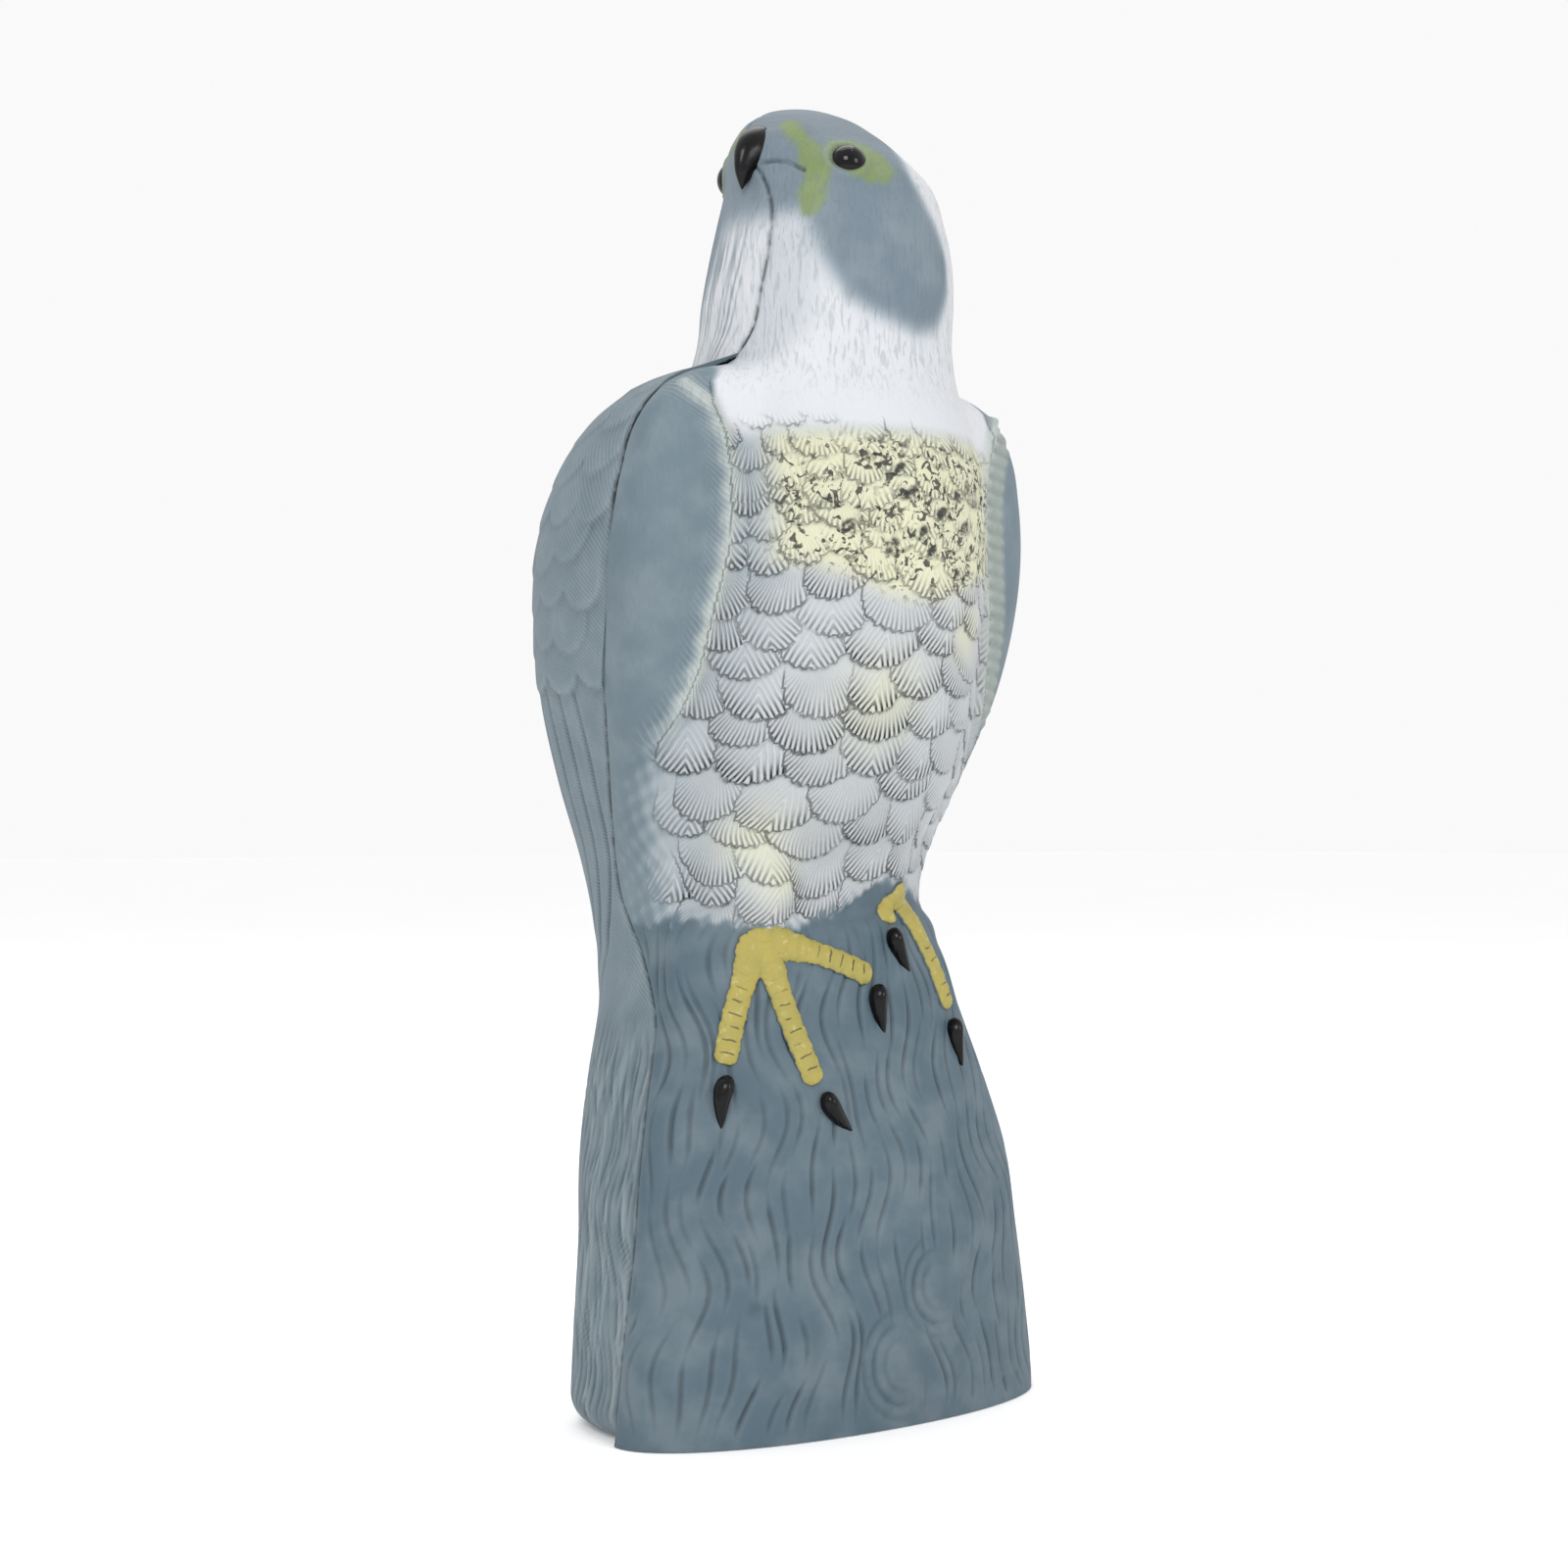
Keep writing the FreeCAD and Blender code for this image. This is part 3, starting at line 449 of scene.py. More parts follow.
def lay_feathers(half):
    """Overlapping rows of scalloped feathers, laid from the lowest up, with fanned or swept barbs."""
    relief, phase, barbs, stroke, ink = (np.zeros_like(half.x) for _ in range(5))
    level, highest = FEATHER_LEVELS
    while level < highest:
        fine = float(smooth(246, 270, level))
        pitch, width, length, lift = 10.6 - 3.4 * fine, 21 - 7.5 * fine, 20 - 7 * fine, 1.2 - 0.45 * fine
        middle = -FEATHER_SPAN + CHANCE.uniform(0, width)
        while middle < FEATHER_SPAN:
            own_width = width * CHANCE.uniform(0.78, 1.22)
            middle += own_width * 0.45
            tip = level + CHANCE.uniform(-3.0, 3.0) + 3.5 * math.sin(middle / 17 + level / 30)
            half_width = own_width * 0.58
            force, wash_and_shadow = CHANCE.uniform(0.5, 1.15), CHANCE.uniform(0.1, 1.0)
            lean = CHANCE.uniform(-0.3, 0.3) + middle * 0.002
            dotted, swept = CHANCE.uniform() < 0.62, CHANCE.uniform() < 0.5
            rows = half.window(tip - 3, tip + length)
            up = half.z[rows] - tip
            over = half.arc[rows] - middle - up * lean
            bowl = half_width * CHANCE.uniform(0.7, 1.0)
            round_end = np.hypot(over / half_width, np.clip((bowl - up) / bowl, 0, None))
            depth = (1 - round_end) * min(half_width, bowl)
            cover = smooth(-0.4, 0.4, depth + 0.35 * np.sin(over * 2.1 + middle)) * (up < length)
            shape = lift * np.clip(1 - up / length, 0, 1) ** 0.8 * (1 - 0.45 * (over / half_width) ** 2)
            relief[rows] += (shape - relief[rows]) * cover
            root = length * 1.05
            fan = np.arctan2(over, root - up) * root
            if swept:
                steep = 1.8 + 1.5 * lean
                fan = (up + np.abs(over) * steep) / math.hypot(1, steep)
            phase[rows] = np.where(cover > 0.5, fan, phase[rows])
            comb = (0.3 + 0.7 * force) * smooth(length * 0.95, length * 0.2, up)
            barbs[rows] += (comb - barbs[rows]) * cover
            near_edge = smooth(7.6 - 2.6 * fine, 0.4, depth) * smooth(length * 0.7, length * 0.2, up)
            stroke[rows] += (near_edge * force - stroke[rows]) * cover
            waver = np.sin(over * 0.9 + 3 * middle) + 0.6 * np.sin(over * 2.3 + level)
            broken = smooth(-0.5, 0.7, waver)
            # A broken dark line just below each feather's edge: a wash that also stands in as the
            # painted shadow of the feather's step.
            rim = bell(depth + 0.45, 0.42) * smooth(bowl * 0.9, bowl * 0.2, up) * wash_and_shadow * broken
            ink[rows] = np.maximum(ink[rows] * (1 - cover), rim * (1 - 0.35 * fine))
            if fine > 0.2 and dotted and 254 < tip < 290:
                blot_width, blot_height = CHANCE.uniform(1.6, 3.0), CHANCE.uniform(1.3, 2.2)
                blot = np.hypot(over / blot_width, (up - 2.2 - 0.4 * over) / blot_height)
                near_middle = smooth(38, 30, np.abs(half.arc[rows]))
                ink[rows] = np.maximum(ink[rows], smooth(1.3, 0.7, blot) * near_middle)
            middle += own_width * 0.45
        level += pitch
    return relief, phase, barbs, stroke, ink


def carve_line(half, groove, place, low, high, width, depth):
    """One groove that follows a place along the skin, tapered at both ends."""
    rows = half.window(low, high)
    z = half.z[rows]
    taper = np.clip(np.minimum(z - low, high - z) / (0.28 * (high - low)), 0, 1)
    across = np.abs(half.arc[rows] - place(z))
    groove[rows] = np.maximum(groove[rows], depth * taper * bell(across, width * (0.45 + 0.55 * taper)))


def wander(arc, z):
    """How the bark's lines sway sideways with height."""
    sway = 3.4 * np.sin(z / 10.5 + arc / 24) + 1.6 * np.sin(z / 5.8 - arc / 13 + 1.1)
    return sway - arc * 0.0017 * (z - 60)


def carve_bark(half, spacing, width, depth, low, high, jitter):
    """Wavy upright grooves, broken at random."""
    groove = np.zeros_like(half.x)
    reach = float(np.abs(half.arc).max())
    place = -reach
    while place < reach:
        start = low - CHANCE.uniform(0, 14)
        while start < high:
            end = start + CHANCE.uniform(16, 44)
            middle = place + CHANCE.uniform(-jitter, jitter)
            strength = depth * CHANCE.uniform(0.55, 1.0)
            carve_line(
                half, groove, lambda z: middle + wander(middle, z), max(start, low), end, width, strength
            )
            start = end + CHANCE.uniform(-8, 6)
        place += spacing
    return groove


def streaks(across, along, pitch, length):
    """Uneven strokes, 0 to 1: random from side to side, changing slowly along their length."""
    deep, broad = STREAK_CELLS
    cells = CHANCE.uniform(-1, 1, STREAK_CELLS)
    column = across / pitch + 60
    row = np.clip(along / length, 0, deep - 2)
    left, low = np.floor(column).astype(int), np.floor(row).astype(int)
    u, v = column - left, row - low
    value = 0
    for side_step, side_share in ((0, 1 - u), (1, u)):
        for row_step, row_share in ((0, 1 - v), (1, v)):
            cell = cells[(low + row_step) % deep, (left + side_step) % broad]
            value = value + cell * side_share * row_share
    return smooth(0.0, 0.6, value)


def face_paint(half):
    """The falcon's hood, crown, cere and eye patch, the same on both sides of the face."""
    z, face = half.z, half.face
    side = np.abs(half.cheek)
    nape = smooth(-20, -29, face) * smooth(15, 8, np.abs(half.cheek + 7)) * smooth(322, 336, z)
    hood = smooth(-2.5, 2.0, outline_depth(face, z, HOOD_OUTLINE)) * smooth(6, 14, side)
    muzzle = smooth(14, 22, face) * smooth(366, 374, z)
    grey = softened(np.maximum(np.maximum(hood, muzzle), nape), 14)
    half.coat(HOOD, grey * smooth(326, 336, z))
    half.coat(CROWN_GREY, smooth(391, 397, z))
    beside = np.stack([face, side, z], -1)
    band = line_distance(beside, CERE_BAND)
    swell = 1.6 * smooth(396, 386, z) * smooth(368, 376, z)
    band += 0.5 * np.sin(z * 0.9 + face) - swell
    half.coat(GREEN, smooth(4.2, 0.6, band) * 0.92)
    patch = np.hypot((face - EYE_PATCH[0]) / 9.5, (z - EYE_PATCH[1]) / 7.8)
    patch += 0.06 * np.sin(face * 1.3 + z * 0.7)
    half.coat(GREEN, smooth(1.12, 0.72, patch) * smooth(16, 22, side) * 0.9)


def eye_places():
    """The middle of each eye's box, in millimetres."""
    places = []
    for side in ("left_eye", "right_eye"):
        low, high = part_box(side)
        places.append((np.array(low) + np.array(high)) / 2 / MM)
    return places


def shape_head(half):
    """Raised lids with painted shade in the crease round each eye, and the line of the mouth with
    painted shade in its groove.
    """
    for middle in eye_places():
        away = np.linalg.norm(half.points - middle, axis=-1)
        half.relief += 0.9 * bell(away - 7.0, 1.1) * (half.z > FACE_LEVEL)
        # Painted shade in the crease between each eye and its lid.
        half.ink = np.maximum(half.ink, 0.6 * bell(away - 5.6, 0.6) * (half.z > FACE_LEVEL))
    mouth = line_distance(np.stack([half.face, np.abs(half.cheek), half.z], -1), MOUTH)
    cut = smooth(1.1, 0.3, mouth)
    half.relief -= 0.6 * cut
    # Painted shade in the mouth's groove.
    half.ink = np.maximum(half.ink, 0.5 * cut)


def mark_seam(half, strength):
    """A narrow groove along the joint, darkened with painted shade, faint over the wing and under the
    neck.
    """
    edge = bell(half.seam, 0.9) * (half.z > 0.01)
    over_wing = smooth(216, 228, half.z) * smooth(278, 268, half.z)
    under_neck = smooth(312, 318, half.z) * smooth(332, 326, half.z)
    shown = 1 - 0.8 * over_wing - 0.95 * under_neck
    half.relief -= 0.7 * edge * shown
    # Painted shade along the joint's groove.
    half.ink = np.maximum(half.ink, strength * bell(half.seam, 0.7) * shown)


def dry_brush_highlight_and_shade(half, amount, passes=5):
    """Pale dry-brushed paint on what stands proud, partly a painted highlight, and painted shade in what
    lies low.
    """
    proud = half.relief - softened(half.relief, passes)
    # Raised relief: pale paint, partly a painted highlight.
    half.coat(SLATE_PALE, np.clip(proud * amount, 0, 0.55))
    # Low relief: painted shade.
    half.coat(SLATE_PAINTED_SHADE, np.clip(-proud * amount, 0, 0.6))


def model_front():
    half = Half(False, FRONT_BANDS, FRONT_COLUMNS)
    x, z, arc = half.x, half.z, half.arc
    side = np.interp(z, *zip(*ZONE_EDGE)) - np.abs(x)
    belly = z - np.interp(x, *zip(*BELLY_EDGE))
    edge_softness = 0.5 + 4.0 * smooth(222, 205, z)
    ragged = 1.6 * np.sin(arc * 0.9) * np.sin(z * 0.8 + arc * 0.3)
    breast = smooth(-edge_softness, 1.5 + edge_softness, side + ragged * smooth(222, 205, z))
    breast *= smooth(-2.0, 2.5, belly + ragged)
    mirrored = half.points * np.array([-1.0, 1.0, 1.0])
    wing_line = np.minimum(line_distance(half.points, WING_EDGE), line_distance(mirrored, WING_EDGE))
    feathered = breast * smooth(310, 298, z)
    neck = smooth(298, 306, z) * smooth(-0.5, 2.0, side)

    relief, phase, barbs, stroke, ink = lay_feathers(half)
    worn = 1 - 0.45 * smooth(16, 38, arc)
    half.relief += relief * feathered
    half.phase = phase
    half.barbs = barbs * feathered * worn
    half.stroke = stroke * feathered * worn
    half.ink = np.maximum(half.ink, ink * feathered * worn)

    raised = 1.5 * bell(wing_line, 1.7) * smooth(206, 222, z)
    sunk = 1.1 * bell(wing_line - 4.2, 1.8) * (side > 0) * feathered
    half.relief += raised - sunk
    quill = smooth(9, 1, wing_line) * (side < 0) * smooth(200, 215, z)
    beside_edge = smooth(0.5, -1.5, side) * smooth(13, 9, wing_line) * (x > 0)
    ribbed = beside_edge * smooth(210, 224, z) * smooth(322, 312, z)
    half.relief += 0.45 * np.sin(z * math.tau / 4.4 + 0.2 * arc) * ribbed
    half.phase = np.where(quill > 0.02, z * 0.9 + side * 0.9, half.phase)
    half.barbs = np.maximum(half.barbs, 0.4 * quill)

    half.wisps = np.maximum(half.wisps, 0.7 * (1 - breast) * smooth(156, 170, z))
    bark = carve_bark(half, 6.6, 0.85, 1.0, 2, 150, 1.8)
    for knot_x, knot_z, size in KNOTS:
        away = np.hypot(arc - knot_x, (z - knot_z) * 0.9)
        bark *= smooth(size * 0.55, size * 1.25, away)
        half.relief += 1.6 * bell(away, size * 0.75)
        for ring, cut in KNOT_RINGS:
            open_side = smooth(6, -8, (arc - knot_x) + (z - knot_z) * 0.2)
            bark = np.maximum(bark, cut * bell(away - size * ring, 0.8) * open_side)
    half.relief -= 1.4 * bell(np.hypot(arc - DIMPLE[0], z - DIMPLE[1]), 2.6)
    rough = smooth(2, -1, belly) * smooth(160, 140, z) * smooth(1.5, 4, half.seam)
    half.relief -= bark * rough

    half.coat(BARK, smooth(2, -2, belly))
    half.coat(WING, smooth(-2, 2, belly))
    half.coat(BREAST, feathered)
    half.coat(SLATE_PALE, 0.6 * feathered * smooth(22, 4, side) * (x < 0))
    half.coat(WHITE, neck)
    half.coat(WHITE, smooth(*NECK_WHITE, z))
    patch = smooth(253, 262, z + 5 * np.cos(arc / 13)) * smooth(306, 298, z) * smooth(-44, -36, x)
    half.coat(LEMON, patch * breast)
    half.speckle = patch * breast * smooth(306, 296, z)
    half.barbs *= 1 - 0.5 * patch
    half.stroke *= 1 - 0.35 * patch
    for blush_x, blush_z, size in BLUSHES:
        half.coat(LEMON, 0.7 * bell(np.hypot(arc - blush_x, z - blush_z), size) * feathered)
    half.coat(RIB_CREAM, 0.85 * ribbed)
    frayed = wing_line + 0.5 * np.sin(z * 0.7)
    half.coat(CREAM, smooth(4.6, 0.6, frayed) * smooth(206, 222, z) * 0.85)
    face_paint(half)
    throat = smooth(318, 330, z) * smooth(376, 360, z) * smooth(26, 10, half.from_right)
    half.coat(HOOD, 0.2 * throat)
    # Painted shade in the bark's grooves and the rings round the knots.
    half.coat(SLATE_PAINTED_SHADE, np.clip(bark**2, 0, 1) * rough * 0.9)
    shape_head(half)
    mark_seam(half, 0.75)
    dry_brush_highlight_and_shade(half, 0.55, 3)
    return half.build("front_skin")


def model_rear():
    half = Half(True, REAR_BANDS, REAR_COLUMNS)
    x, z, arc = half.x, half.z, half.arc
    stump = smooth(128, 112, z)
    grain = carve_bark(half, 3.2, 0.75, 0.8, 3, 130, 1.0)
    half.relief -= grain * stump
    wings = smooth(120, 134, z) * smooth(326, 316, z)
    half.phase = z * 1.1 + np.abs(arc) * 0.8
    half.barbs = wings * 0.25
    half.wisps = np.maximum(half.wisps, 0.7 * wings)
    quills = np.zeros_like(x)
    for lane in np.arange(-110, 111, 11.0):
        carve_line(
            half, quills, lambda z: lane * (0.55 + 0.45 * smooth(120, 230, z)), *QUILL_LEVELS, 0.9, 0.8
        )
    level, highest = MANTLE_LEVELS
    row, row_gap, spacing, half_width, bowl, length = 0, 13, 21, 12.5, 11, 24
    while level < highest:
        for place in range(-6, 7):
            middle = (place + 0.5 * (row % 2)) * spacing + CHANCE.uniform(-1.5, 1.5)
            tip = level + CHANCE.uniform(-1.5, 1.5)
            rows = half.window(tip - 2, tip + length)
            up, over = half.z[rows] - tip, half.arc[rows] - middle
            depth = (1 - np.hypot(over / half_width, np.clip((bowl - up) / bowl, 0, None))) * bowl
            cover = smooth(-0.8, 0.8, depth) * (up < length)
            shape = 0.9 * np.clip(1 - up / length, 0, 1)
            half.relief[rows] += (shape - half.relief[rows]) * cover
            quills[rows] *= 1 - cover
        level += row_gap
        row += 1
    half.relief -= quills * wings
    middle_gap = bell(arc, 3.0) * smooth(120, 150, z) * smooth(262, 235, z)
    half.relief -= 1.6 * middle_gap
    half.coat(WING, wings)
    half.coat(WHITE, smooth(*NECK_WHITE, z))
    face_paint(half)
    throat = smooth(306, 326, z) * smooth(376, 358, z) * smooth(55, 25, half.from_right)
    half.coat(SLATE, 0.6 * throat * streaks(half.from_right + z * 0.12, z, 1.3, 24))
    # Painted shade in the quill grooves and the stump's grain grooves.
    half.coat(SLATE_PAINTED_SHADE, 0.35 * quills * wings + 0.4 * grain * stump)
    half.coat(SLATE_PALE, 0.5 * stump * streaks(arc, z, 1.4, 34))
    shape_head(half)
    mark_seam(half, 0.8)
    dry_brush_highlight_and_shade(half, 1.1)
    return half.build("rear_skin")


class Paints:
    """A small helper that adds and links shader nodes."""

    def __init__(self, name):
        self.material = bpy.data.materials.new(name)
        self.material.use_nodes = True
        self.tree = self.material.node_tree
        self.shader = self.tree.nodes["Principled BSDF"]
        self.coords = self.tree.nodes.new("ShaderNodeTexCoord").outputs["Object"]

    def attribute(self, name, output="Fac"):
        node = self.tree.nodes.new("ShaderNodeAttribute")
        node.attribute_name = name
        return node.outputs[output]

    def noise(self, scale, detail=4.0, distortion=0.0, drawn_out=None):
        """Cloudy noise; drawn_out stretches it along Z."""
        node = self.tree.nodes.new("ShaderNodeTexNoise")
        for name, value in (("Scale", scale), ("Detail", detail), ("Distortion", distortion)):
            node.inputs[name].default_value = value
        place = self.coords
        if drawn_out:
            mapping = self.tree.nodes.new("ShaderNodeMapping")
            mapping.inputs["Rotation"].default_value = (0.12, 0.16, 0.0)
            mapping.inputs["Scale"].default_value = (1.0, 1.0, 1.0 / drawn_out)
            self.tree.links.new(self.coords, mapping.inputs["Vector"])
            place = mapping.outputs[0]
        self.tree.links.new(place, node.inputs["Vector"])
        return node.outputs["Fac"]

    def math(self, operation, first, second=0.0):
        node = self.tree.nodes.new("ShaderNodeMath")
        node.operation = operation
        for socket, value in zip(node.inputs, (first, second)):
            if isinstance(value, (int, float)):
                socket.default_value = value
            else:
                self.tree.links.new(value, socket)
        return node.outputs[0]

    def times(self, first, second):
        return self.math("MULTIPLY", first, second)

    def ramp(self, value, low, high, to_low=0.0, to_high=1.0):
        node = self.tree.nodes.new("ShaderNodeMapRange")
        node.interpolation_type = "SMOOTHSTEP"
        self.tree.links.new(value, node.inputs["Value"])
        ends = {"From Min": low, "From Max": high, "To Min": to_low, "To Max": to_high}
        for name, number in ends.items():
            node.inputs[name].default_value = number
        return node.outputs[0]

    def blend(self, amount, first, second, way="MIX"):
        node = self.tree.nodes.new("ShaderNodeMix")
        node.data_type = "RGBA"
        node.blend_type = way
        pairs = ((node.inputs["Factor"], amount), (node.inputs[6], first), (node.inputs[7], second))
        for socket, value in pairs:
            if isinstance(value, (int, float, tuple)):
                socket.default_value = value
            else:
                self.tree.links.new(value, socket)
        return node.outputs[2]

    def bump(self, height, distance, strength=1.0, below=None):
        node = self.tree.nodes.new("ShaderNodeBump")
        node.inputs["Distance"].default_value = distance
        node.inputs["Strength"].default_value = strength
        self.tree.links.new(height, node.inputs["Height"])
        if below is not None:
            self.tree.links.new(below, node.inputs["Normal"])
        return node.outputs[0]

    def finish(self, color, roughness, normal, **fixed):
        for name, value in (("Base Color", color), ("Roughness", roughness), ("Normal", normal)):
            self.tree.links.new(value, self.shader.inputs[name])
        for name, value in fixed.items():
            self.shader.inputs[name.replace("_", " ")].default_value = value
        return self.material


def shell_paint():
    """Sprayed matt paint: the barbs' fine lines, washed black lines, speckles and brushed unevenness;
    the black also lays painted shadow under the feather edges and painted shade in the seam, the mouth
    and round the eyes.
    """
    kit = Paints("sprayed_shell")
    fine, broad, blotch = kit.noise(420, 3), kit.noise(70, 4), kit.noise(16, 5)
    wobble = kit.math("ADD", kit.attribute("phase"), kit.times(kit.noise(150, 2), 1.1))
    wave = kit.math("SINE", kit.times(wobble, math.tau / 1.75))
    dark_lines = kit.ramp(kit.math("ADD", wave, kit.times(broad, 0.6)), 0.3, 0.85)
    strokes = kit.times(dark_lines, kit.attribute("stroke"))
    strokes = kit.times(strokes, kit.ramp(fine, 0.25, 0.5, 0.5, 1.0))
    ink = kit.times(kit.attribute("ink"), kit.ramp(kit.noise(260, 2), 0.38, 0.55, 0.2, 1.0))
    crinkle = kit.ramp(kit.noise(360, 3, 1.2), 0.54, 0.6)
    patches = kit.ramp(kit.noise(95, 2), 0.34, 0.48)
    speckle = kit.times(kit.times(crinkle, patches), kit.attribute("speckle"))
    cloudy = kit.ramp(blotch, 0.3, 0.7, 0.0, 0.11)
    color = kit.blend(cloudy, kit.attribute("paint", "Color"), rgba((160, 170, 196)), "MULTIPLY")
    color = kit.blend(kit.ramp(broad, 0.35, 0.7, 0.0, 0.1), color, rgba((232, 238, 240)))
    pale = kit.times(kit.ramp(wave, -0.2, -0.9), kit.times(kit.attribute("barbs"), 0.4))
    color = kit.blend(pale, color, rgba((240, 243, 245)))
    wisps = kit.noise(900, 3, 0.6, 6.0)
    wisp_shade = kit.times(kit.ramp(wisps, 0.5, 0.66), kit.attribute("wisps"))
    color = kit.blend(kit.times(wisp_shade, 0.3), color, rgba(SLATE))
    color = kit.blend(kit.times(strokes, 0.95), color, rgba(INK_AND_SHADE))
    # Black marks: real wash and spots, plus painted shadow under feather edges and painted shade in the
    # creases and the seam.
    color = kit.blend(kit.times(ink, 0.92), color, rgba(INK_AND_SHADE))
    color = kit.blend(kit.times(speckle, 0.9), color, rgba(INK_AND_SHADE))
    lines = kit.times(kit.times(wave, -0.5), kit.attribute("barbs"))
    grain = kit.bump(kit.noise(1500, 3), 0.00012, 0.6)
    brushed = kit.bump(kit.noise(240, 4), 0.0004, 0.5, grain)
    brushed = kit.bump(kit.times(wisps, kit.attribute("wisps")), 0.0006, 0.7, brushed)
    normal = kit.bump(lines, 0.00045, 0.9, brushed)
    return kit.finish(color, kit.ramp(broad, 0.3, 0.7, 0.52, 0.68), normal, Specular_IOR_Level=0.35)


def toe_paint():
    """Hand-brushed yellow over the grey shell, with short dark marks across each toe."""
    kit = Paints("toe_yellow")
    along, top = kit.attribute("along"), kit.attribute("top")
    wobble = kit.math("ADD", along, kit.times(kit.noise(260, 2), 1.6))
    wave = kit.math("SINE", kit.times(wobble, math.tau / 4.2))
    marks = kit.times(kit.ramp(wave, 0.86, 0.97), kit.ramp(kit.noise(170, 2), 0.4, 0.52))
    marks = kit.times(kit.times(marks, kit.ramp(top, 0.72, 0.9)), kit.ramp(along, 10, 22))
    color = kit.blend(kit.ramp(kit.noise(120, 4), 0.35, 0.7), rgba(YELLOW), rgba((196, 180, 92)))
    color = kit.blend(kit.ramp(kit.noise(420, 3), 0.56, 0.72, 0.0, 0.5), color, rgba((226, 216, 150)))
    edge = kit.math("ADD", top, kit.times(kit.noise(300, 3), 0.5))
    color = kit.blend(kit.ramp(edge, 0.62, 0.36, 0.0, 0.9), color, rgba(BARK))
    color = kit.blend(kit.times(marks, 0.8), color, rgba((72, 66, 48)))
    normal = kit.bump(wave, 0.0003, 0.6, kit.bump(kit.noise(700, 3), 0.0002, 0.6))
    rough = kit.ramp(kit.noise(90, 3), 0.3, 0.7, 0.5, 0.65)
    return kit.finish(color, rough, normal, Specular_IOR_Level=0.35)


def gloss_black(name, streak, rough_low, rough_high):
    """Black lacquer with fine flow marks."""
    kit = Paints(name)
    flow = kit.noise(streak, 4, 1.0)
    color = kit.blend(kit.ramp(flow, 0.3, 0.75), rgba((5, 5, 6)), rgba((20, 19, 23)))
    normal = kit.bump(flow, 0.0002, 0.25)
    rough = kit.ramp(flow, 0.3, 0.7, rough_low, rough_high)
    return kit.finish(color, rough, normal, Specular_IOR_Level=0.22)


def plain_plastic(name, color, worn):
    """Moulded plastic with a slight grain."""
    kit = Paints(name)
    shade = kit.blend(kit.ramp(kit.noise(90, 4), 0.3, 0.7), rgba(color), rgba(worn))
    rough = kit.ramp(kit.noise(60, 3), 0.3, 0.7, 0.4, 0.55)
    return kit.finish(shade, rough, kit.bump(kit.noise(1200, 3), 0.00015, 0.5))


def solid(name, points, faces):
    """A closed smooth mesh from points in millimetres."""
    mesh = bpy.data.meshes.new(name)
    mesh.from_pydata((np.asarray(points) * MM).tolist(), [], faces)
    form = bmesh.new()
    form.from_mesh(mesh)
    bmesh.ops.recalc_face_normals(form, faces=form.faces)
    form.to_mesh(mesh)
    form.free()
    mesh.polygons.foreach_set("use_smooth", np.ones(len(mesh.polygons), bool))
    return placed(name, mesh)


def tube_faces(stations, around):
    """Quads between neighbouring rings, and a cap at each end."""
    index = np.arange(stations * around).reshape(stations, around)
    turned = np.roll(index, -1, axis=1)
    quads = np.stack([index[:-1], index[1:], turned[1:], turned[:-1]], -1).reshape(-1, 4).tolist()
    return quads + [index[0].tolist(), index[-1][::-1].tolist()]


def circle(around):
    return np.linspace(0, math.tau, around, endpoint=False)


def unit(vectors):
    return vectors / np.linalg.norm(vectors, axis=1, keepdims=True)


def smoothed_path(path, passes):
    return np.stack([softened(path[:, [axis]], passes)[:, 0] for axis in range(3)], -1)


def toe_tube(line):
    """A low scaly band along the skin: points, faces, and how far along and how high each point is."""
    stations, around = 64, 20
    share = np.linspace(0, 1, stations)
    root, knuckle, tip = (np.array(spot, float) for spot in line)
    bend = (2 * knuckle - 0.5 * (root + tip))[None, :]
    near, far = (1 - share)[:, None], share[:, None]
    flat = near**2 * root + 2 * (far * near) * bend + far**2 * tip
    x, z = flat.T
    y = skin_y(x, z)
    slope_x, slope_z = (skin_y(x + 1, z) - y), (skin_y(x, z + 1) - y)
    normal = np.stack([slope_x, -np.ones_like(x), slope_z], -1)
    normal = unit(smoothed_path(normal, 30))
    middle = smoothed_path(np.stack([x, y, z], -1), 20) + normal * 0.1
    way = unit(np.gradient(middle, axis=0))
    side = np.cross(way, normal)
    run = np.concatenate([[0], np.cumsum(np.linalg.norm(np.diff(middle, axis=0), axis=1))])
    ends = np.minimum(run + 0.4, run[-1] - run + 0.4)
    rounded = np.sqrt(np.clip(1 - (1 - np.clip(ends / 3.6, 0, 1)) ** 2, 0.02, 1))
    rings = 0.35 * np.abs(np.sin(run * math.pi / 4.2)) ** 0.6 * rounded
    palm = 2.4 * min(1.0, run[-1] / 40)
    at_root = np.clip(1 - run / 16, 0, 1)
    wide = (3.9 + palm * at_root) * rounded
    angle = circle(around)
    across = np.cos(angle)[None, :, None] * wide[:, None, None] * side[:, None, :]
    broad = 0.05 * np.sin(run[:, None] * 1.3 + 2 * angle)
    fine = 0.03 * np.sin(run[:, None] * 3.1 - angle)
    across *= (1 + broad + fine)[..., None]
    lift = (0.4 * wide + rings) * (1 - 0.2 * at_root)
    height = lift[:, None, None] * normal[:, None, :]
    points = middle[:, None, :] + across + np.sin(angle)[None, :, None] * height
    along = np.repeat(run[:, None], around, axis=1)
    top = np.repeat(np.clip(np.sin(angle), 0, 1)[None, :], stations, axis=0)
    return points.reshape(-1, 3), tube_faces(stations, around), along.ravel(), top.ravel()


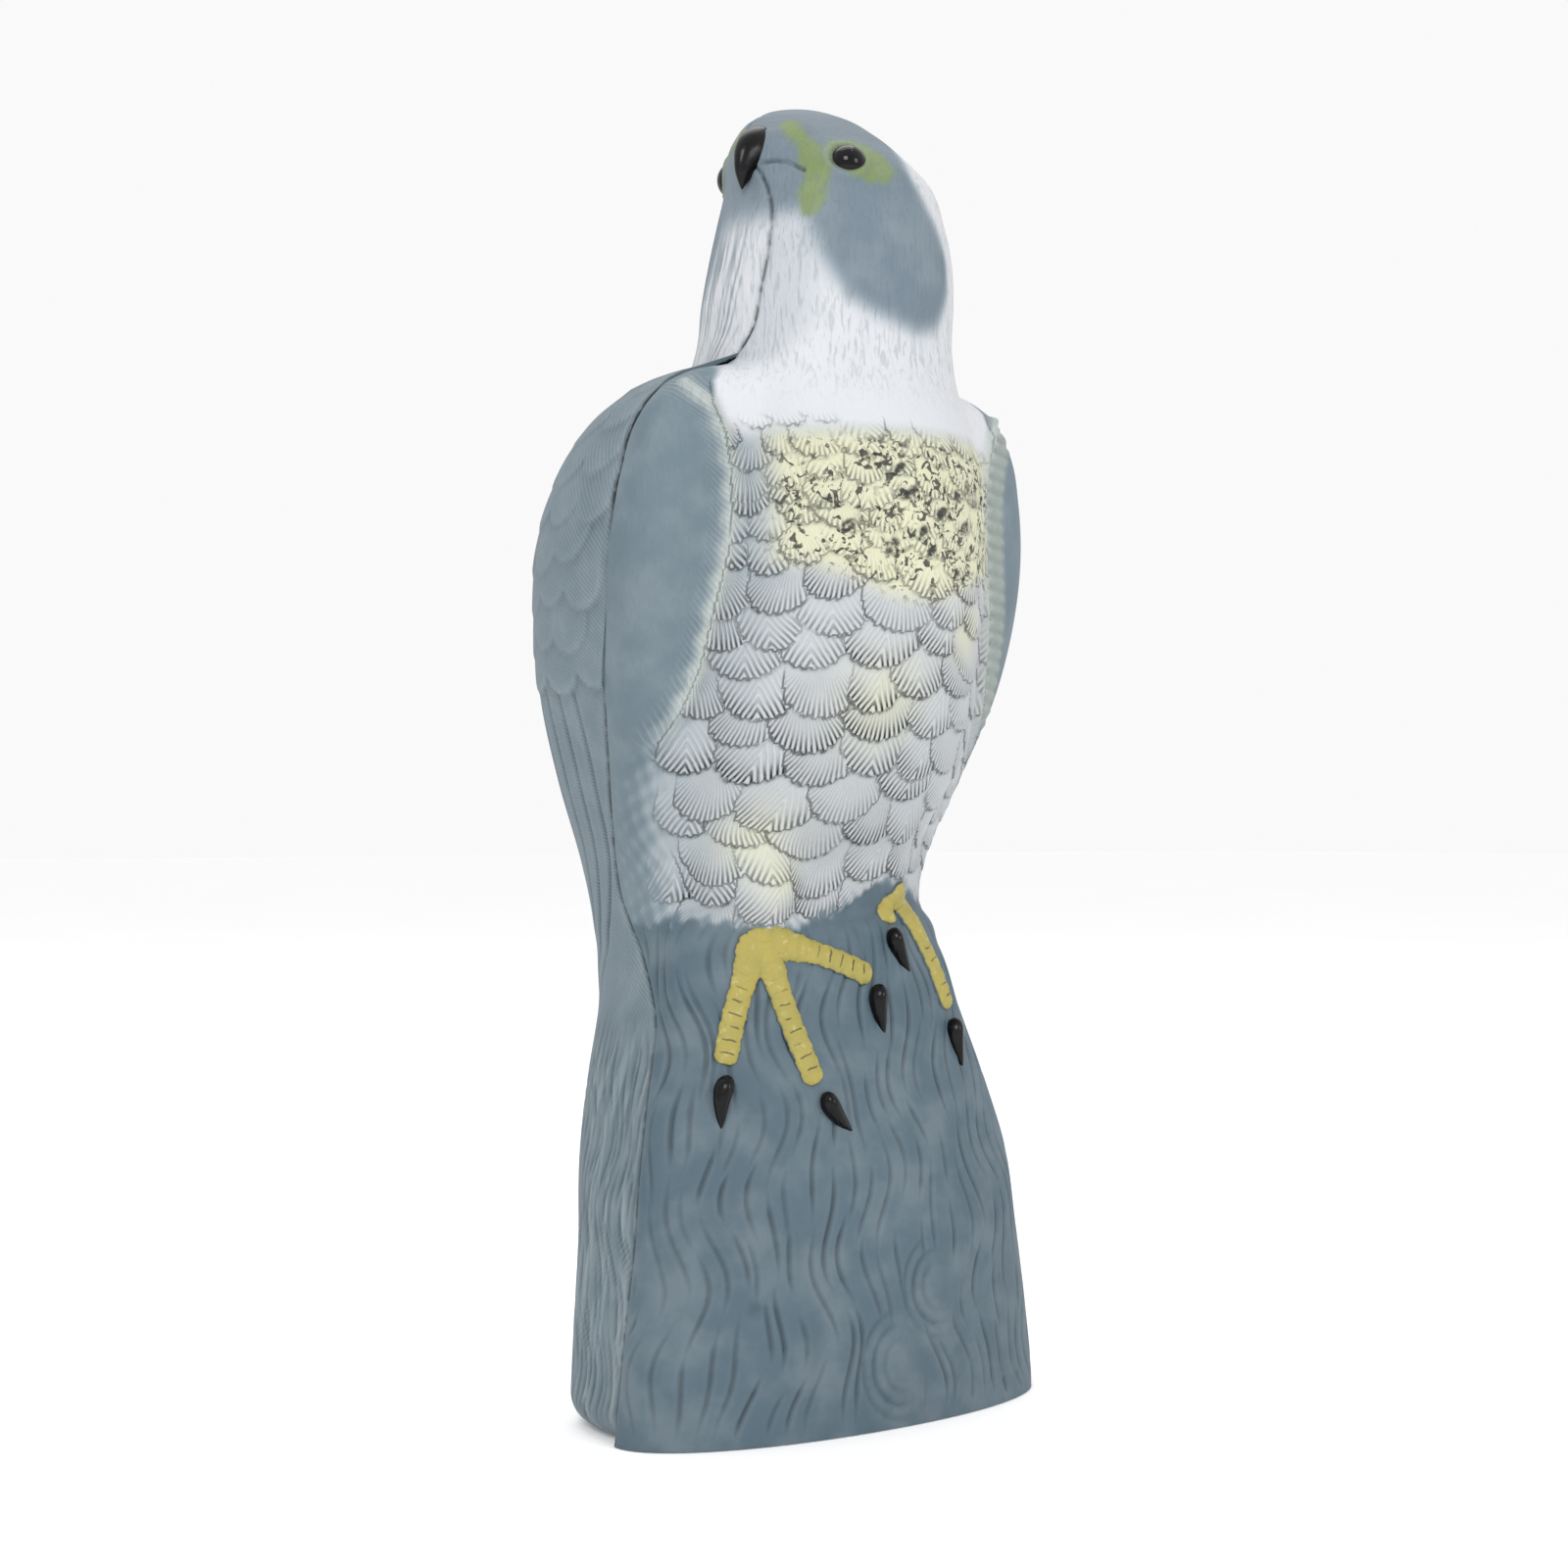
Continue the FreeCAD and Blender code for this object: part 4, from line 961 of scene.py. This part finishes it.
def make_claw(name, tip, aim):
    """A hooked claw that lies along the skin below the end of its toe."""
    stations, around = 28, 20
    share = np.linspace(0, 1, stations)
    reach = CLAW_LENGTH / math.hypot(*aim)
    x, z = tip[0] + aim[0] * reach * (share + 0.12), tip[1] + aim[1] * reach * (share + 0.12)
    y = skin_y(x, z)
    middle = np.stack([x, y, z], -1)
    way = middle[-1] - middle[0]
    way /= np.linalg.norm(way)
    normal = np.cross(np.cross(way, np.array([0.0, -1.0, 0.0])), way)
    normal /= np.linalg.norm(normal)
    side = np.cross(way, normal)
    middle = middle[0] + np.outer(share * CLAW_LENGTH, way) + np.outer(1.5 - 2.2 * share**2, normal)
    middle += np.outer(1.1 * np.sin(math.pi * share), side)
    blunt = np.sqrt(np.clip(1 - (1 - np.clip((share + 0.01) / 0.32, 0, 1)) ** 2, 0, 1))
    wide = 3.2 * blunt * (1 - share**1.8) ** 0.85 + 0.12
    angle = circle(around)
    ridge = 1 + 0.16 * np.clip(np.sin(angle), 0, 1) ** 6
    across = np.cos(angle)[None, :, None] * wide[:, None, None] * side
    height = (np.sin(angle) * ridge)[None, :, None] * 1.05 * wide[:, None, None] * normal
    points = (middle[:, None, :] + across + height).reshape(-1, 3)
    return solid(name, points, tube_faces(stations, around))


def make_beak(name):
    """The upper bill's hooked horn, creased along both sides."""
    stations, around = 40, 36
    share = np.linspace(0, 1, stations)
    out, up, high, wide = eased(BEAK, share)
    way = unit(np.stack([np.gradient(out), np.gradient(up)], -1))
    ahead, above = np.append(FACE, 0.0), np.array([0.0, 0.0, 1.0])
    root = np.array([HEAD_X, HEAD_Y, BEAK_LEVEL]) + BEAK_REACH * ahead
    middle = root + np.outer(out, ahead) + np.outer(up, above)
    crest = np.outer(way[:, 0], above) - np.outer(way[:, 1], ahead)
    angle = circle(around)
    crease = 1 - 0.1 * bell(np.sin(angle) + 0.42, 0.13)
    across = (np.cos(angle) * crease)[None, :, None] * wide[:, None, None] * np.append(CHEEK, 0.0)
    height = (np.sin(angle) * crease)[None, :, None] * high[:, None, None] * crest[:, None, :]
    points = (middle[:, None, :] + across + height).reshape(-1, 3)
    return solid(name, points, tube_faces(stations, around))


def make_foot(name, lines):
    points, faces, along, top = [], [], [], []
    for line in lines:
        spots, quads, run, up = toe_tube(line)
        start = sum(len(part) for part in points)
        points.append(spots)
        faces += [[corner + start for corner in quad] for quad in quads]
        along.append(run)
        top.append(up)
    foot = solid(name, np.concatenate(points), faces)
    for label, values in (("along", along), ("top", top)):
        layer = foot.data.attributes.new(label, "FLOAT", "POINT")
        layer.data.foreach_set("value", np.concatenate(values).astype(np.float32))
    return foot


def turned_solid(name, profile, middle_y, around=72):
    """A closed ring or disc turned about an upright axis; profile holds radius and height."""
    points, faces = [], []
    for step in range(around):
        angle = math.tau * step / around
        for radius, height in profile:
            x, y = radius * math.cos(angle), middle_y + radius * math.sin(angle)
            points.append((x * MM, y * MM, height * MM))
    count = len(profile)
    for step in range(around):
        here, there = step * count, (step + 1) % around * count
        for spot in range(count):
            after = (spot + 1) % count
            faces.append((here + spot, there + spot, there + after, here + after))
    mesh = bpy.data.meshes.new(name)
    mesh.from_pydata(points, [], faces)
    return placed(name, mesh)


def cut_filler_hole(skin):
    """Opens the floor for the plug, stepped for its flange."""
    axis = 0.001
    profile = [
        (axis, HOLE_BELOW), (FLANGE_BORE, HOLE_BELOW), (FLANGE_BORE, FLANGE_SEAT), (BORE, FLANGE_SEAT),
        (BORE, HOLE_ABOVE), (axis, HOLE_ABOVE),
    ]
    tool = turned_solid("hole_tool", profile, HOLE_Y)
    cut = skin.modifiers.new("filler_hole", "BOOLEAN")
    cut.object = tool
    cut.solver = "EXACT"
    graph = bpy.context.evaluated_depsgraph_get()
    mesh = bpy.data.meshes.new_from_object(skin.evaluated_get(graph))
    skin.modifiers.clear()
    skin.data = mesh
    bpy.data.objects.remove(tool)


def dress(thing, material):
    thing.data.materials.clear()
    thing.data.materials.append(material)


def add_light(name, place, target, size, power):
    data = bpy.data.lights.new(name, "AREA")
    data.size = size
    data.energy = power
    lamp = placed(name, data)
    lamp.location = place
    direction = Vector(target) - Vector(place)
    lamp.rotation_euler = direction.to_track_quat("-Z", "Y").to_euler()


def add_studio():
    world = bpy.data.worlds.new("studio")
    world.use_nodes = True
    sky = world.node_tree.nodes["Background"].inputs
    sky["Color"].default_value = (1.0, 1.0, 1.0, 1.0)
    sky["Strength"].default_value = 0.95
    bpy.context.scene.world = world
    middle = (0.0, 0.0, 0.22)
    add_light("key", (-1.3, -1.2, 1.3), middle, 0.7, 16)
    add_light("fill", (0.5, -1.9, 0.9), middle, 0.7, 9)
    add_light("top", (0.2, 0.6, 2.0), middle, 1.4, 10)
    bpy.ops.mesh.primitive_plane_add(size=30, location=(0, 0, -0.0003))
    floor = bpy.context.object
    floor.name = "floor"
    kit = Paints("pale_floor")
    shade = kit.blend(kit.ramp(kit.noise(3, 3), 0.3, 0.7), (0.93, 0.93, 0.93, 1), (0.95, 0.95, 0.95, 1))
    rough = kit.ramp(kit.noise(5, 2), 0.3, 0.7, 0.85, 0.95)
    glow = {"Emission_Color": (1.0, 1.0, 1.0, 1.0), "Emission_Strength": 0.07}
    dress(floor, kit.finish(shade, rough, kit.bump(kit.noise(300, 2), 0.0001, 0.1), **glow))
    bpy.context.scene.view_settings.view_transform = "Standard"


def add_camera():
    """Level, ahead of the bird's right shoulder."""
    data = bpy.data.cameras.new("camera")
    data.lens = 56.95
    data.sensor_width = 36.0
    data.shift_x = -0.02875
    data.shift_y = 0.02875
    camera = placed("camera", data)
    camera.location = (-0.4608, -0.6343, 0.1837)
    camera.rotation_euler = (math.radians(90), 0, math.radians(-36))
    bpy.context.scene.camera = camera


add_camera()
add_studio()

painted = shell_paint()
front = model_front()
rear = model_rear()
cut_filler_hole(rear)
boss_profile = [(BORE, BOSS_BASE), (BOSS_RADIUS, BOSS_BASE), (BOSS_RADIUS, BOSS_TOP), (BORE, BOSS_TOP)]
boss = turned_solid("filler_boss", boss_profile, HOLE_Y)
for piece in (front, rear, boss):
    dress(piece, painted)
feet = []
for side in ("right", "left"):
    toes = [line for name, (line, _) in TOES.items() if name.startswith(side)]
    feet.append(make_foot(f"{side}_foot", [*toes, PALMS[side]]))
yellow = toe_paint()
for piece in feet:
    dress(piece, yellow)
for piece in [front, *feet]:
    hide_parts("front_shell")
for piece in (rear, boss):
    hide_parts("rear_shell")
for piece in [front, rear, boss, *feet]:
    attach(piece, "decoy")

eye_black = gloss_black("eye_black", 60, 0.04, 0.08)
horn_black = gloss_black("horn_black", 260, 0.16, 0.3)
for name, (line, aim) in TOES.items():
    claw = make_claw(name + "_horn", line[-1], aim)
    dress(claw, horn_black)
    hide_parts(name)
    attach(claw, "decoy")
beak = make_beak("beak_horn")
dress(beak, horn_black)
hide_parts("beak_tip")
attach(beak, "decoy")
for name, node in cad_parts.items():
    if name.endswith("_eye"):
        dress(node, eye_black)
    elif name.endswith("_retainer"):
        dress(node, plain_plastic("washer_plastic", (205, 204, 198), (188, 187, 180)))
    elif name == "filler_plug":
        dress(node, plain_plastic("plug_plastic", (40, 41, 43), (58, 59, 62)))
